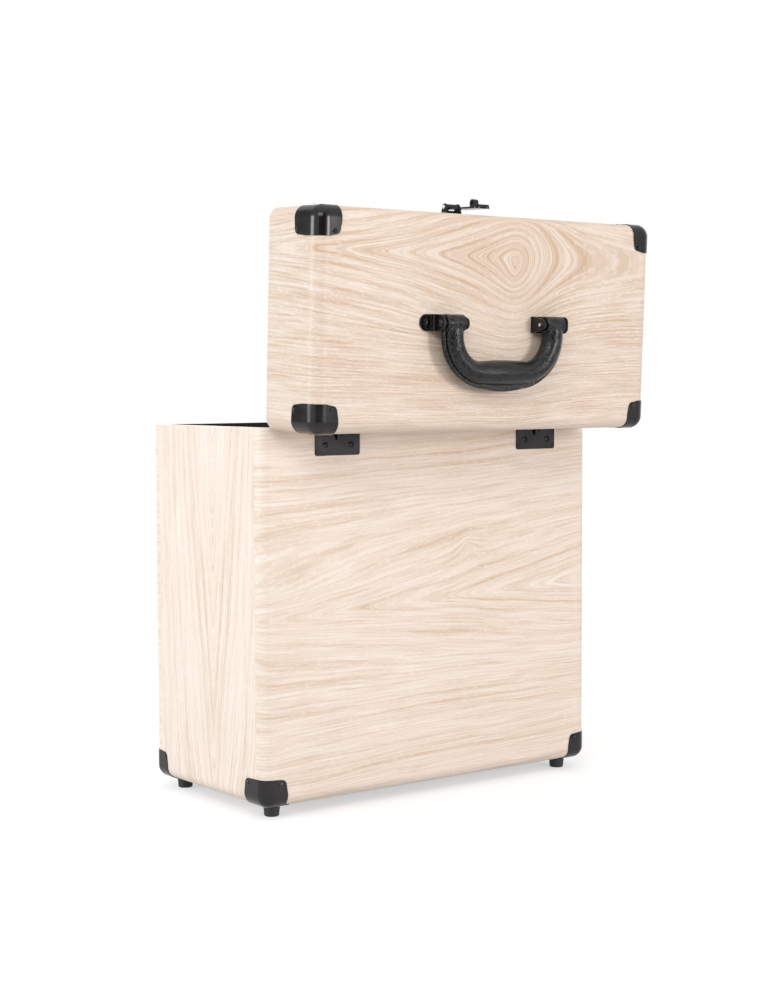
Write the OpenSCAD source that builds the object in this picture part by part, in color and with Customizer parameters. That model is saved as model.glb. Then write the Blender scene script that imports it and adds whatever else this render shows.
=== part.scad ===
// Carrying case for long-play records: a tall base box and a hinged lid box with the handle on top.
// Everything is laid out closed, underside of the base at z = 0, front at -Y, hinges at +Y.
// The lid with all it carries is then turned open about the hinge pin.

/* [Case] */
// Width of the case along X
case_w = 350; // [340:1:420]
// Depth of the case along Y
case_d = 174; // [140:1:260]
// Height of the base from its underside to its rim
base_h = 306; // [260:1:340]
// Height of the lid with its top
lid_h = 67; // [50:1:110]
// Radius of the outer edges
edge_r = 10; // [6:0.5:10]
// Thickness of the boards
board_t = 9; // [9:0.5:12]
// Thickness of the outer covering
cover_t = 0.6; // [0.4:0.1:1]
// Thickness of the lining
lining_t = 1; // [0.8:0.1:2]
// Gap between the rims when closed
rim_gap = 0.4; // [0.3:0.1:0.8]
// How far the front and rear covering sheets wrap onto the sides
wrap = 12.5; // [11:0.5:25]
// How far the front, rear and side sheets turn in under the base
wrap_under = 28; // [28:0.5:32]
// Opening angle of the lid in the pose as drawn
lid_open = 92.5; // [0:0.5:92.5]

/* [Corner guards] */
// Thickness of the pressed sheet
guard_t = 0.7; // [0.5:0.1:1]
// Radius of the rounded lobe of a flap
guard_r = 4.5; // [3.5:0.5:5]
// How much narrower a flap is at its lobe
guard_lean = 1.2; // [0:0.2:2]
// Reach along the front and rear edges of the base
base_guard_x = 22; // [20:0.5:30]
// Reach up the corner of the base
base_guard_z = 23.5; // [20:0.5:34]
// Reach along the side at the rear of the base
base_guard_y_rear = 29; // [20:0.5:34]
// Reach along the side at the front of the base
base_guard_y_front = 22; // [20:0.5:34]
// Reach of the flap under the base, both ways
sole_guard = 27; // [26.5:0.5:27.5]
// How far up the rounded edges the flap under the corner goes
sole_up = 0.6; // [0.2:0.1:1]
// Reach along the long edges of the lid
lid_guard_x = 21.5; // [20:0.5:30]
// Reach along the short edges of the lid
lid_guard_y = 23.5; // [20:0.5:34]
// Reach down the corner of the lid
lid_guard_z = 31; // [20:0.5:40]
// Distance of a guard rivet from the free end of its flap
guard_rivet_in = 4; // [3:0.5:6]
// Distance of a guard rivet from the side of its flap, along X
guard_rivet_x = 6.5; // [5:0.5:8]
// Distance of a guard rivet from the side of its flap, along Y
guard_rivet_y = 5; // [4.5:0.5:8]
// Radius of the guard rivet head
guard_rivet_r = 2.4; // [1.8:0.1:3]

/* [Rivets] */
// Radius of the rivet shanks
shank_r = 1.2; // [0.8:0.1:1.4]
// Length of a rivet driven into a board
shank_l = 7; // [4:0.5:8]
// Clearance round shanks and pins
fit_c = 0.05; // [0.03:0.01:0.1]
// Radius of the washers under riveted tails
washer_r = 4; // [3:0.5:6]
// Thickness of the washers
washer_t = 0.8; // [0.5:0.1:1.5]

/* [Feet] */
// Distance of a foot's centre from the planes of the case
foot_in = 19; // [17:0.5:19.5]
// Height of the feet
foot_h = 10; // [6:0.5:16]
// Radius of a foot at the top
foot_r = 7; // [5.5:0.25:7.5]
// Radius of a foot at the floor
foot_tip_r = 6.2; // [4:0.1:6.5]
// Radius of the rounding at the floor
foot_edge = 1.2; // [0.5:0.1:2]

/* [Hinges] */
// Width of a hinge
hinge_w = 44; // [36:1:60]
// Places of the hinge centres along X
hinge_x = [-112, 102.3];
// Distance of the pin behind the rear face
pin_out = 2; // [2:0.1:3]
// Distance of the pin below the rim of the base
pin_down = 3.4; // [3:0.1:5]
// Radius of the hinge pin
pin_r = 1; // [0.8:0.05:1.2]
// Radius of the knuckles
knuckle_r = 2; // [1.8:0.1:2]
// Thickness of the leaves
leaf_t = 1.2; // [0.8:0.1:1.4]
// Length of a leaf from the pin
leaf_l = 20.1; // [18:0.1:26]
// Width of the middle knuckle
mid_knuckle = 14; // [12:0.5:18]
// Spacing of the two rivets of a leaf
leaf_rivets = 26; // [22:0.5:30]
// Distance of the leaf rivets from the pin
leaf_rivet_l = 11.3; // [8:0.1:14]
// Radius of the wells that the leaf rivets sit in
sunk_r = 2.9; // [2.6:0.1:3.2]
// Radius of the leaf rivet heads
leaf_head_r = 2; // [1.7:0.1:2.2]
// Depth of the wells and of the relief for the tongue
sunk_d = 0.7; // [0.3:0.1:0.7]
// Width of the stop tongue
tongue_w = 3.5; // [3:0.5:5]
// Length of the stop tongue from the pin
tongue_l = 7.6; // [7:0.1:9]
// Angle at which the tongue stops the lid
stop_angle = 92.5; // [90:0.5:100]
// Clearance between the knuckles
knuckle_gap = 0.3; // [0.2:0.05:0.5]

/* [Handle] */
// Height of the handle pivot above the lid
pivot_h = 12; // [11.5:0.5:16]
// Radius of the handle pins
handle_pin_r = 2; // [1.5:0.1:2.5]
// Distance of the inner ears from the middle
inner_ear = 39.5; // [34:0.5:48]
// Distance from the inner to the outer ear, outer faces
ear_span = 26; // [24:0.5:32]
// Thickness of the ears and plates
ear_t = 1.5; // [1:0.1:2]
// Width of the plates and feet of the ears
ear_w = 13.5; // [12.5:0.5:18]
// Radius of the rounded ear tops
ear_r = 5; // [4:0.25:6]
// Radius of the top corners of the outer ears
strap_r = 4.5; // [2:0.5:5.5]
// Radius of the bend between an outer ear and its foot
strap_bend = 3.2; // [1:0.1:3.3]
// Length of the plate beyond the outer ear
plate_out = 11.5; // [9:0.5:16]
// Radius of the legs of the grip
leg_r = 9; // [7:0.5:10]
// Radius of the bar of the grip
bar_r = 10.3; // [8:0.1:10.8]
// Distance of the bar from the pivot
bar_y = 39; // [34:0.5:48]
// Radius of the bends of the grip
bend_r = 30; // [24:0.5:30]
// How far the seam flange stands off the legs
flange_leg = 2; // [1:0.5:3]
// How far the seam flange stands off the bar
flange_bar = 5; // [3:0.5:6]
// Thickness of the seam flange
flange_t = 4; // [2:0.5:6]
// Radius of the barrels round the pins
barrel_r = 7; // [5:0.25:8]
// Gap between barrels and ears
barrel_gap = 0.5; // [0.3:0.1:1]

/* [Latch] */
// Height of the hasp pin above the front face of the lid
hasp_h = 8.5; // [7.5:0.5:12]
// Distance of the hasp pin above the rim of the base
hasp_up = 8; // [6:0.5:12]
// Radius of the hasp pin
hasp_pin_r = 1; // [0.8:0.1:1.2]
// Inner distance between the bracket ears
hasp_ears = 12; // [10:0.5:16]
// Thickness of the latch sheet
latch_t = 1.4; // [1:0.1:1.8]
// Length of the bracket plate up the lid
bracket_l = 26; // [18:0.5:34]
// Height of the bridge between the bracket ears
bridge_h = 5.3; // [3:0.1:5.5]
// Length of the hasp from its pin
hasp_l = 42; // [38:0.5:43]
// Width of the hasp
hasp_w = 15; // [13:0.5:18]
// Radius of the rolled lip of the hasp
lip_r = 1.7; // [1.2:0.1:1.8]
// Distance of the staple from the pin
staple_l = 29.5; // [27:0.5:31]
// Height of the staple off the hasp
staple_h = 6.5; // [5:0.5:7]
// Length of the staple along the hasp
staple_d = 6; // [5:0.5:8]
// Width of the staple
staple_w = 4.5; // [4:0.5:6]
// Radius of the hole in the staple
staple_hole_r = 1.5; // [1.4:0.1:1.8]
// Distance of the lock case below the rim of the base
lock_down = 8; // [4:0.5:10]
// Width of the lock case
lock_w = 27; // [26:0.5:36]
// Height of the lock case
lock_l = 40; // [40:0.5:46]
// Height of the deep upper part of the lock case
lock_head = 18.5; // [18:0.5:20]
// Depth of the upper part of the lock case
lock_t = 8.5; // [8.3:0.1:8.8]
// Depth of the lower part of the lock case
apron_t = 5.4; // [5.2:0.1:5.8]
// Wall of the lock case
lock_wall = 1.2; // [0.8:0.1:1.2]
// Thickness of the plate behind the slide
lock_plate_t = 1.6; // [1:0.1:1.6]
// Travel of the lock slide
slide_travel = 4; // [3.5:0.5:4]
// Clearance of the slide all round
slide_gap = 0.3; // [0.2:0.05:0.4]
// Clearance of the staple in its slot
slot_gap = 0.4; // [0.3:0.05:0.8]
// Radius of the bolt of the slide
bolt_r = 1.1; // [0.9:0.05:1.2]
// Width of the button of the slide
button_w = 9; // [7:0.5:9]
// Height of the button of the slide
button_l = 5.4; // [4:0.2:6]
// How far the button stands off the lock case
button_up = 1.6; // [1:0.1:1.8]

/* [Hidden] */
$fn = 64;
e = 0.01;
top_z = base_h + lid_h;
lid_z = base_h + rim_gap;
half_w = case_w / 2;
half_d = case_d / 2;
pin_y = half_d + pin_out;
pin_z = base_h - pin_down;
cav = cover_t + board_t;
lin = cav + lining_t;
outer_ear = inner_ear + ear_span;
shank_bore = shank_r + fit_c;
floor_z = cav + lining_t;
ceil_z = top_z - lin;
leg_x = outer_ear - ear_span / 2;
bend_x = leg_x - bend_r;
bend_y = bar_y - bend_r;
bend_l = bend_r * PI / 2;
grip_l = bend_x + bend_l + bend_y;
flange_steps = 30;
pin_mid = hasp_ears / 2 + latch_t;
// Depth of the pocket that the tails of the through rivets stand in
tail_h = washer_t + 0.6;

wood_c = [0.90, 0.82, 0.75];
board_c = [0.78, 0.66, 0.50];
lining_c = [0.06, 0.06, 0.06];
black_c = [0.10, 0.10, 0.10];
steel_c = [0.75, 0.75, 0.76];

// Piece to draw, or all of them

// ---------------------------------------------------------------- forms of the two boxes

// Side view of a tray: flat rim at z = h, rounded floor edges, grown by g all round
module tray_outline(half, g, h) {
    r = edge_r + g;
    translate([-(half - edge_r), -g]) square([2 * (half - edge_r), h + g]);
    translate([-(half + g), edge_r]) square([2 * (half + g), h - edge_r]);
    for (s = [-1, 1]) translate([s * (half - edge_r), edge_r]) circle(r);
}

// One upright corner of the tray with its ball end
module tray_corner(g, h) {
    r = edge_r + g;
    rotate_extrude() {
        translate([0, edge_r]) square([r, h - edge_r]);
        intersection() {
            translate([0, edge_r]) circle(r);
            translate([0, -g]) square([r, edge_r + g]);
        }
    }
}

// Solid tray form, floor at z = -g and rim at z = h
module tray(g, h) {
    rotate([90, 0, 0])
        linear_extrude(height = case_d - 2 * edge_r, center = true)
            tray_outline(half_w, g, h);
    rotate([90, 0, 90])
        linear_extrude(height = case_w - 2 * edge_r, center = true)
            tray_outline(half_d, g, h);
    for (sx = [-1, 1], sy = [-1, 1])
        translate([sx * (half_w - edge_r), sy * (half_d - edge_r), 0])
            tray_corner(g, h);
}

module base_form(g, h = base_h) {
    tray(g, h);
}

module lid_form(g, h = lid_h - rim_gap) {
    translate([0, 0, top_z]) mirror([0, 0, 1]) tray(g, h);
}

// Box given by its low and high corners
module box(a, b) {
    translate(a) cube([b[0] - a[0], b[1] - a[1], b[2] - a[2]]);
}

// Box centred on the Z axis, w by d, from z0 to z1
module well(inset, z0, z1) {
    box([-half_w + inset, -half_d + inset, z0], [half_w - inset, half_d - inset, z1]);
}

// Turns the closed lid and what it carries about the hinge pin
module opened() {
    translate([0, pin_y, pin_z]) rotate([-lid_open, 0, 0]) translate([0, -pin_y, -pin_z])
        children();
}

// ---------------------------------------------------------------- rivets, pins and what is drilled for them

// Places of the leaf rivets: x, distance from the pin
leaf_places = [for (c = hinge_x, s = [-1, 1]) c + s * leaf_rivets / 2];

// Places of the handle rivets on the lid top
handle_places = [for (s = [-1, 1], x = [leg_x, outer_ear + 6]) s * x];

// Places of the bracket rivets above the rim of the base
bracket_places = [hasp_up + 12, hasp_up + 20];

// Places of the lock rivets: x, distance below the rim of the base, depth of the case there
lock_places = [
    for (s = [-1, 1], k = [0, 1])
        [s * (lock_w / 2 - 3.9), k == 0 ? lock_down + 4 : lock_down + lock_l - 3.6, k == 0 ? lock_t : apron_t]
];

// Flap ends of the guards, front first, then rear
base_guard_y = [base_guard_y_front, base_guard_y_rear];

// Rivets of the base guards on front and rear: x, side of Y, z
base_face_rivets = [
    for (sx = [-1, 1], sy = [-1, 1])
        [sx * (half_w - base_guard_x + guard_rivet_x), sy, base_guard_z - guard_rivet_in]
];

// Rivets of the base guards on the sides: side of X, y, z
base_side_rivets = [
    for (sx = [-1, 1], k = [0, 1])
        [sx, (2 * k - 1) * (half_d - base_guard_y[k] + guard_rivet_y), base_guard_z - guard_rivet_in]
];

// Rivets of the lid guards on front and rear: x, side of Y, z
lid_face_rivets = [
    for (sx = [-1, 1], sy = [-1, 1])
        [sx * (half_w - lid_guard_x + guard_rivet_x), sy, top_z - lid_guard_z + guard_rivet_in]
];

// Rivets of the lid guards on the sides: side of X, y, z
lid_side_rivets = [
    for (sx = [-1, 1], sy = [-1, 1])
        [sx, sy * (half_d - lid_guard_y + guard_rivet_y), top_z - lid_guard_z + guard_rivet_in]
];

// Rivets of the lid guards on the top: x, y
lid_top_rivets = [
    for (sx = [-1, 1], sy = [-1, 1])
        [sx * (half_w - lid_guard_x + guard_rivet_x), sy * (half_d - lid_guard_y + guard_rivet_in)]
];

// Puts a child, drawn with z outwards, at each rivet of the base guards
module at_base_guard_rivets() {
    for (p = base_face_rivets) translate([p[0], p[1] * half_d, p[2]]) rotate([-90 * p[1], 0, 0]) children();
    for (p = base_side_rivets) translate([p[0] * half_w, p[1], p[2]]) rotate([0, 90 * p[0], 0]) children();
}

// Puts a child, drawn with z outwards, at each rivet of the lid guards
module at_lid_guard_rivets() {
    for (p = lid_face_rivets) translate([p[0], p[1] * half_d, p[2]]) rotate([-90 * p[1], 0, 0]) children();
    for (p = lid_side_rivets) translate([p[0] * half_w, p[1], p[2]]) rotate([0, 90 * p[0], 0]) children();
    for (p = lid_top_rivets) translate([p[0], p[1], top_z]) children();
}

// Blind hole for a driven shank, from above the sheet down into the board
module blind_bore(r = shank_bore) {
    translate([0, 0, -shank_l - 0.3]) cylinder(r = r, h = shank_l + 3);
}

// Hole right through covering, board and lining
module through_bore(r = shank_bore) {
    translate([0, 0, -lin - 1]) cylinder(r = r, h = lin + 4);
}

// Hollow in the inner face of a board for a washer and tail, under the lining
module tail_pocket() {
    translate([0, 0, -cav - e]) cylinder(r = washer_r + 0.2, h = tail_h + e);
}

// Everything that is drilled into the base
module base_drilling() {
    at_base_guard_rivets() blind_bore();
    for (x = leaf_places) translate([x, half_d, pin_z - leaf_rivet_l]) rotate([-90, 0, 0]) {
        through_bore();
        tail_pocket();
    }
    for (p = lock_places) translate([p[0], -half_d, base_h - p[1]]) rotate([90, 0, 0]) {
        through_bore();
        tail_pocket();
    }
    for (sx = [-1, 1], sy = [-1, 1])
        translate([sx * (half_w - foot_in), sy * (half_d - foot_in), 0]) mirror([0, 0, 1]) blind_bore();
}

// Everything that is drilled into the lid, laid out closed
module lid_drilling() {
    at_lid_guard_rivets() blind_bore();
    for (x = leaf_places) translate([x, half_d, pin_z + leaf_rivet_l]) rotate([-90, 0, 0]) {
        through_bore();
        tail_pocket();
    }
    for (z = bracket_places) translate([0, -half_d, base_h + z]) rotate([90, 0, 0]) {
        through_bore();
        tail_pocket();
    }
    for (x = handle_places) translate([x, 0, top_z]) {
        through_bore();
        tail_pocket();
    }
}

// ---------------------------------------------------------------- base box

module base_bottom_board() {
    color(board_c) difference() {
        intersection() {
            base_form(-cover_t, base_h - cover_t);
            box([-case_w, -case_d, cover_t], [case_w, case_d, cav]);
        }
        base_drilling();
    }
}

// Long board of the base, side -1 front, 1 rear
module base_long_board(side) {
    y = side < 0 ? -half_d : half_d - cav;
    color(board_c) difference() {
        intersection() {
            base_form(-cover_t, base_h - cover_t);
            box([-case_w, y, cav], [case_w, y + cav, base_h]);
        }
        base_drilling();
    }
}

// Short board of the base between the long ones, side -1 left, 1 right
module base_short_board(side) {
    x = side < 0 ? -half_w + cover_t : half_w - cav;
    color(board_c) difference() {
        box([x, -half_d + cav, cav], [x + board_t, half_d - cav, base_h - cover_t]);
        base_drilling();
    }
}

module base_front_board() { base_long_board(-1); }
module base_rear_board() { base_long_board(1); }
module base_left_board() { base_short_board(-1); }
module base_right_board() { base_short_board(1); }

// Skin of the base, turned over the rim down to the lining
module base_skin() {
    difference() {
        base_form(0);
        base_form(-cover_t, base_h - cover_t);
        well(cav, cav, base_h + 1);
        base_drilling();
    }
}

// Strip of the underside that a long sheet covers, side -1 front, 1 rear
module under_strip(side) {
    y = side < 0 ? -half_d : half_d - wrap_under;
    box([-half_w + edge_r, y, -1], [half_w - edge_r, y + wrap_under, cover_t]);
}

// Long covering sheet, wrapped onto the sides and turned under the base
module base_long_cover(side) {
    y = side < 0 ? -case_d : half_d - wrap;
    color(wood_c) intersection() {
        base_skin();
        union() {
            box([-case_w, y, -1], [case_w, y + case_d - half_d + wrap, base_h + 1]);
            under_strip(side);
        }
    }
}

// Side covering sheet between the two wraps, turned under the base
module base_short_cover(side) {
    x = side < 0 ? -case_w : half_w - wrap_under;
    color(wood_c) difference() {
        intersection() {
            base_skin();
            box([x, -half_d + wrap, -1], [x + case_w - half_w + wrap_under, half_d - wrap, base_h + 1]);
        }
        for (k = [-1, 1]) under_strip(k);
    }
}

module base_front_cover() { base_long_cover(-1); }
module base_rear_cover() { base_long_cover(1); }
module base_left_cover() { base_short_cover(-1); }
module base_right_cover() { base_short_cover(1); }

module base_bottom_cover() {
    color(wood_c) difference() {
        box([-half_w + wrap_under, -half_d + wrap_under, 0], [half_w - wrap_under, half_d - wrap_under, cover_t]);
        base_drilling();
    }
}

module base_wall_lining() {
    color(lining_c) difference() {
        well(cav, floor_z, base_h);
        well(lin, floor_z - 1, base_h + 1);
    }
}

module base_floor_lining() {
    color(lining_c) well(cav, cav, floor_z);
}

// ---------------------------------------------------------------- corner guards

// Flap outline: reach a along x and b along y from the corner at the origin, with one rounded lobe
module flap_outline(a, b) {
    x = guard_lean - a;
    y = b - guard_lean / 2;
    polygon([[2, -2], [2, b], [-edge_r, b], [x + guard_r, y], [x, y - guard_r], [-a, b / 2], [-a, -2]]);
    translate([x + guard_r, y - guard_r]) circle(guard_r);
}

// Guard at the corner of a tray: x = half_w, y = half_d, z = 0, reaches rx, ry, rz, floor flap sx by sy
module guard(rx, ry, rz, sx, sy) {
    intersection() {
        difference() {
            tray(guard_t, base_h / 2);
            tray(0, base_h / 2 + 1);
        }
        union() {
            translate([half_w, half_d + 2, 0]) rotate([90, 0, 0]) linear_extrude(height = edge_r + 2)
                flap_outline(rx, rz);
            translate([half_w - edge_r, half_d, 0]) rotate([90, 0, 90]) linear_extrude(height = edge_r + 2)
                flap_outline(ry, rz);
            translate([half_w, half_d, -2]) linear_extrude(height = 2 + sole_up)
                flap_outline_down(sx, sy);
        }
    }
}

// Same flap for the face under the corner
module flap_outline_down(a, b) {
    x = guard_lean - a;
    y = guard_lean - b;
    polygon([[2, 2], [2, -b], [-edge_r, -b], [x + guard_r, y], [x, y + guard_r], [-a, -b / 2], [-a, 2]]);
    translate([x + guard_r, y + guard_r]) circle(guard_r);
}

// Puts a guard drawn at +X +Y at another corner
module at_corner(cx, cy) {
    mirror([cx < 0 ? 1 : 0, 0, 0]) mirror([0, cy < 0 ? 1 : 0, 0]) children();
}

module base_guard(cx, cy) {
    color(black_c) difference() {
        at_corner(cx, cy)
            guard(base_guard_x, cy < 0 ? base_guard_y_front : base_guard_y_rear, base_guard_z,
                sole_guard, sole_guard);
        base_drilling();
    }
}

module base_guard_rear_left() { base_guard(-1, 1); }
module base_guard_rear_right() { base_guard(1, 1); }
module base_guard_front_left() { base_guard(-1, -1); }
module base_guard_front_right() { base_guard(1, -1); }

module lid_guard(cx, cy) {
    color(black_c) opened() difference() {
        translate([0, 0, top_z]) mirror([0, 0, 1]) at_corner(cx, cy)
            guard(lid_guard_x, lid_guard_y, lid_guard_z, lid_guard_x, lid_guard_y);
        lid_drilling();
    }
}

module lid_guard_rear_left() { lid_guard(-1, 1); }
module lid_guard_rear_right() { lid_guard(1, 1); }
module lid_guard_front_left() { lid_guard(-1, -1); }
module lid_guard_front_right() { lid_guard(1, -1); }

// Domed rivet head of radius r on a surface at z = s, with a shank of length l
module domed_rivet(r, s, l, rise) {
    ball = (r * r + rise * rise) / (2 * rise);
    translate([0, 0, s]) intersection() {
        translate([0, 0, rise - ball]) sphere(ball);
        cylinder(r = r, h = rise + 1);
    }
    translate([0, 0, -l]) cylinder(r = shank_r, h = l + s + e);
}

module base_guard_rivets() {
    color(steel_c) at_base_guard_rivets() domed_rivet(guard_rivet_r, guard_t, shank_l, 1);
}

module lid_guard_rivets() {
    color(steel_c) opened() at_lid_guard_rivets() domed_rivet(guard_rivet_r, guard_t, shank_l, 1);
}

// ---------------------------------------------------------------- feet

module feet() {
    color(black_c) for (sx = [-1, 1], sy = [-1, 1])
        translate([sx * (half_w - foot_in), sy * (half_d - foot_in), 0])
            rotate_extrude() difference() {
                union() {
                    polygon([[0, -guard_t], [foot_r, -guard_t], [foot_tip_r, -foot_h + foot_edge],
                        [foot_tip_r - foot_edge, -foot_h], [0, -foot_h]]);
                    translate([foot_tip_r - foot_edge, -foot_h + foot_edge]) circle(foot_edge);
                }
                translate([-1, -foot_h / 2 - 0.5]) square([2.8 + 1 + fit_c, 20]);
                translate([-1, -foot_h - 1]) square([1 + 3.2, foot_h / 2 + 1]);
            }
}

// Pan-head screw up through each foot into the bottom board
module foot_screws() {
    color(steel_c) for (sx = [-1, 1], sy = [-1, 1])
        translate([sx * (half_w - foot_in), sy * (half_d - foot_in), 0]) {
            translate([0, 0, -foot_h / 2 - 2.4]) cylinder(r = 3, h = 2.4);
            translate([0, 0, -foot_h / 2 - e]) cylinder(r = shank_r, h = foot_h / 2 + shank_l);
        }
}

// ---------------------------------------------------------------- hinges

// Leaf in the plane x-y, pin along x at the origin, leaf running towards -y, back face at z = -pin_out
module leaf_plate(from) {
    r = 2;
    translate([0, 0, -pin_out]) linear_extrude(height = leaf_t) {
        translate([-hinge_w / 2, -leaf_l + r]) square([hinge_w, leaf_l - r - from]);
        translate([-hinge_w / 2 + r, -leaf_l]) square([hinge_w - 2 * r, leaf_l - from]);
        for (s = [-1, 1]) translate([s * (hinge_w / 2 - r), -leaf_l + r]) circle(r);
    }
}

// Rivet holes of a leaf, each with a well for the head
module leaf_holes() {
    for (s = [-1, 1]) translate([s * leaf_rivets / 2, -leaf_rivet_l, -pin_out]) {
        translate([0, 0, -1]) cylinder(r = shank_bore, h = 4);
        translate([0, 0, leaf_t - sunk_d]) cylinder(r = sunk_r, h = 2);
    }
}

// Rolled knuckle from x0 to x1 with the sheet that leads into it
module knuckle(x0, x1) {
    translate([x0, 0, 0]) rotate([0, 90, 0]) cylinder(r = knuckle_r, h = x1 - x0);
    translate([x0, -knuckle_r - knuckle_gap - 1, -pin_out]) cube([x1 - x0, knuckle_r + knuckle_gap + 1, leaf_t]);
}

module pin_bore() {
    translate([-hinge_w, 0, 0]) rotate([0, 90, 0]) cylinder(r = pin_r + fit_c, h = 2 * hinge_w);
}

// Base leaf: two outer knuckles, clear of the lid's middle knuckle, with a relief round the tongue
module base_leaf() {
    m = mid_knuckle / 2 + knuckle_gap;
    difference() {
        union() {
            leaf_plate(knuckle_r + knuckle_gap);
            knuckle(-hinge_w / 2, -m);
            knuckle(m, hinge_w / 2);
        }
        pin_bore();
        leaf_holes();
        translate([-m, -knuckle_r - knuckle_gap, -pin_out - 1]) cube([2 * m, 10, 10]);
        translate([-tongue_w / 2 - 2, -knuckle_r - knuckle_gap - 3.2, -pin_out + leaf_t - sunk_d])
            cube([tongue_w + 4, 10, 10]);
    }
}

// Tongue of the lid leaf, drawn in the open pose, where it bears on the base leaf
module stop_tongue() {
    translate([-tongue_w / 2, -tongue_l, -pin_out + leaf_t + knuckle_gap]) cube([tongue_w, tongue_l, leaf_t]);
}

// Frame of a hinge on the base: x along X, y up, z out of the rear face, origin at the pin
module at_hinges() {
    for (c = hinge_x) translate([c, pin_y, pin_z]) rotate([90, 0, 180]) mirror([1, 0, 0]) children();
}

module hinge_base_leaves() {
    color(black_c) at_hinges() base_leaf();
}

// Lid leaves: plate clear of the outer knuckles, middle knuckle, and the tongue turned to the stop
module hinge_lid_leaves() {
    color(black_c) opened() difference() {
        union() {
            at_hinges() mirror([0, 1, 0]) {
                leaf_plate(knuckle_r + knuckle_gap);
                knuckle(-mid_knuckle / 2, mid_knuckle / 2);
            }
            translate([0, pin_y, pin_z]) rotate([stop_angle, 0, 0]) translate([0, -pin_y, -pin_z])
                at_hinges() stop_tongue();
        }
        at_hinges() {
            pin_bore();
            mirror([0, 1, 0]) leaf_holes();
        }
    }
}

module hinge_pins() {
    color(steel_c) opened() for (c = hinge_x) translate([c, pin_y, pin_z]) rotate([0, 90, 0]) {
        translate([0, 0, -hinge_w / 2 - 0.4]) cylinder(r = pin_r, h = hinge_w + 0.8);
        for (s = [0, 1]) mirror([0, 0, s]) translate([0, 0, hinge_w / 2 + 0.3]) cylinder(r = 1.5, h = 0.8);
    }
}

// Rivet of a leaf through sheet and board, its domed head in the well, drawn with z outwards
module leaf_rivet() {
    domed_rivet(leaf_head_r, leaf_t - sunk_d, cav, sunk_d + 0.2);
    tail();
}

// Washer and spread tail in the pocket behind the lining
module tail() {
    translate([0, 0, -cav]) cylinder(r = shank_r + 0.9, h = tail_h - washer_t - fit_c);
    translate([0, 0, -cav + tail_h - washer_t]) cylinder(r = washer_r, h = washer_t - fit_c);
    translate([0, 0, -cav]) cylinder(r = shank_r, h = tail_h + e);
}

module hinge_base_rivets() {
    color(steel_c) for (x = leaf_places)
        translate([x, half_d, pin_z - leaf_rivet_l]) rotate([-90, 0, 0]) leaf_rivet();
}

module hinge_lid_rivets() {
    color(steel_c) opened() for (x = leaf_places)
        translate([x, half_d, pin_z + leaf_rivet_l]) rotate([-90, 0, 0]) leaf_rivet();
}

// ---------------------------------------------------------------- lid box

module lid_top_board() {
    color(board_c) opened() difference() {
        intersection() {
            lid_form(-cover_t, lid_h - rim_gap - cover_t);
            box([-case_w, -case_d, top_z - cav], [case_w, case_d, top_z]);
        }
        lid_drilling();
    }
}

module lid_long_board(side) {
    y = side < 0 ? -half_d : half_d - cav;
    color(board_c) opened() difference() {
        intersection() {
            lid_form(-cover_t, lid_h - rim_gap - cover_t);
            box([-case_w, y, lid_z], [case_w, y + cav, top_z - cav]);
        }
        lid_drilling();
    }
}

module lid_short_board(side) {
    x = side < 0 ? -half_w + cover_t : half_w - cav;
    color(board_c) opened() difference() {
        box([x, -half_d + cav, lid_z + cover_t], [x + board_t, half_d - cav, top_z - cav]);
        lid_drilling();
    }
}

module lid_front_board() { lid_long_board(-1); }
module lid_rear_board() { lid_long_board(1); }
module lid_left_board() { lid_short_board(-1); }
module lid_right_board() { lid_short_board(1); }

module lid_cover() {
    color(wood_c) opened() difference() {
        lid_form(0);
        lid_form(-cover_t, lid_h - rim_gap - cover_t);
        well(cav, lid_z - 1, top_z - cav);
        lid_drilling();
    }
}

module lid_wall_lining() {
    color(lining_c) opened() difference() {
        well(cav, lid_z, ceil_z);
        well(lin, lid_z - 1, ceil_z + 1);
    }
}

module lid_top_lining() {
    color(lining_c) opened() well(cav, ceil_z, top_z - cav);
}

// ---------------------------------------------------------------- carrying handle

// Frame of the handle: the middle of the lid top, z outwards
module on_lid_top() {
    opened() translate([0, 0, top_z]) children();
}

// Ear standing on the lid top in a plane across X: square foot, round top about the pin
module ear(x, s) {
    translate([x, 0, 0]) mirror([s < 0 ? 1 : 0, 0, 0]) rotate([90, 0, 90])
        translate([0, 0, -ear_t]) linear_extrude(height = ear_t) {
            translate([0, pivot_h]) circle(ear_r);
            polygon([[-ear_w / 2, 0], [ear_w / 2, 0], [ear_w / 2, 2.5],
                [ear_r * 0.98, pivot_h + ear_r * 0.2], [-ear_r * 0.98, pivot_h + ear_r * 0.2],
                [-ear_w / 2, 2.5]]);
        }
}

// Hole for a handle pin through the ears of one side
module handle_pin_bore(s) {
    translate([s * (inner_ear - 5), 0, pivot_h]) rotate([0, 90 * s, 0])
        cylinder(r = handle_pin_r + fit_c, h = ear_span + 10);
}

module rivet_holes_top() {
    for (x = handle_places) translate([x, 0, -1]) cylinder(r = shank_bore, h = 12);
}

// Base plate with the inner ear bent up from it
module handle_plates() {
    color(black_c) on_lid_top() difference() {
        for (s = [-1, 1]) mirror([s < 0 ? 1 : 0, 0, 0]) {
            linear_extrude(height = ear_t) {
                translate([inner_ear, -ear_w / 2]) square([ear_span + plate_out - ear_w / 2, ear_w]);
                translate([outer_ear + plate_out - ear_w / 2, 0]) circle(ear_w / 2);
            }
            ear(inner_ear + ear_t, 1);
        }
        for (s = [-1, 1]) handle_pin_bore(s);
        rivet_holes_top();
    }
}

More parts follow.
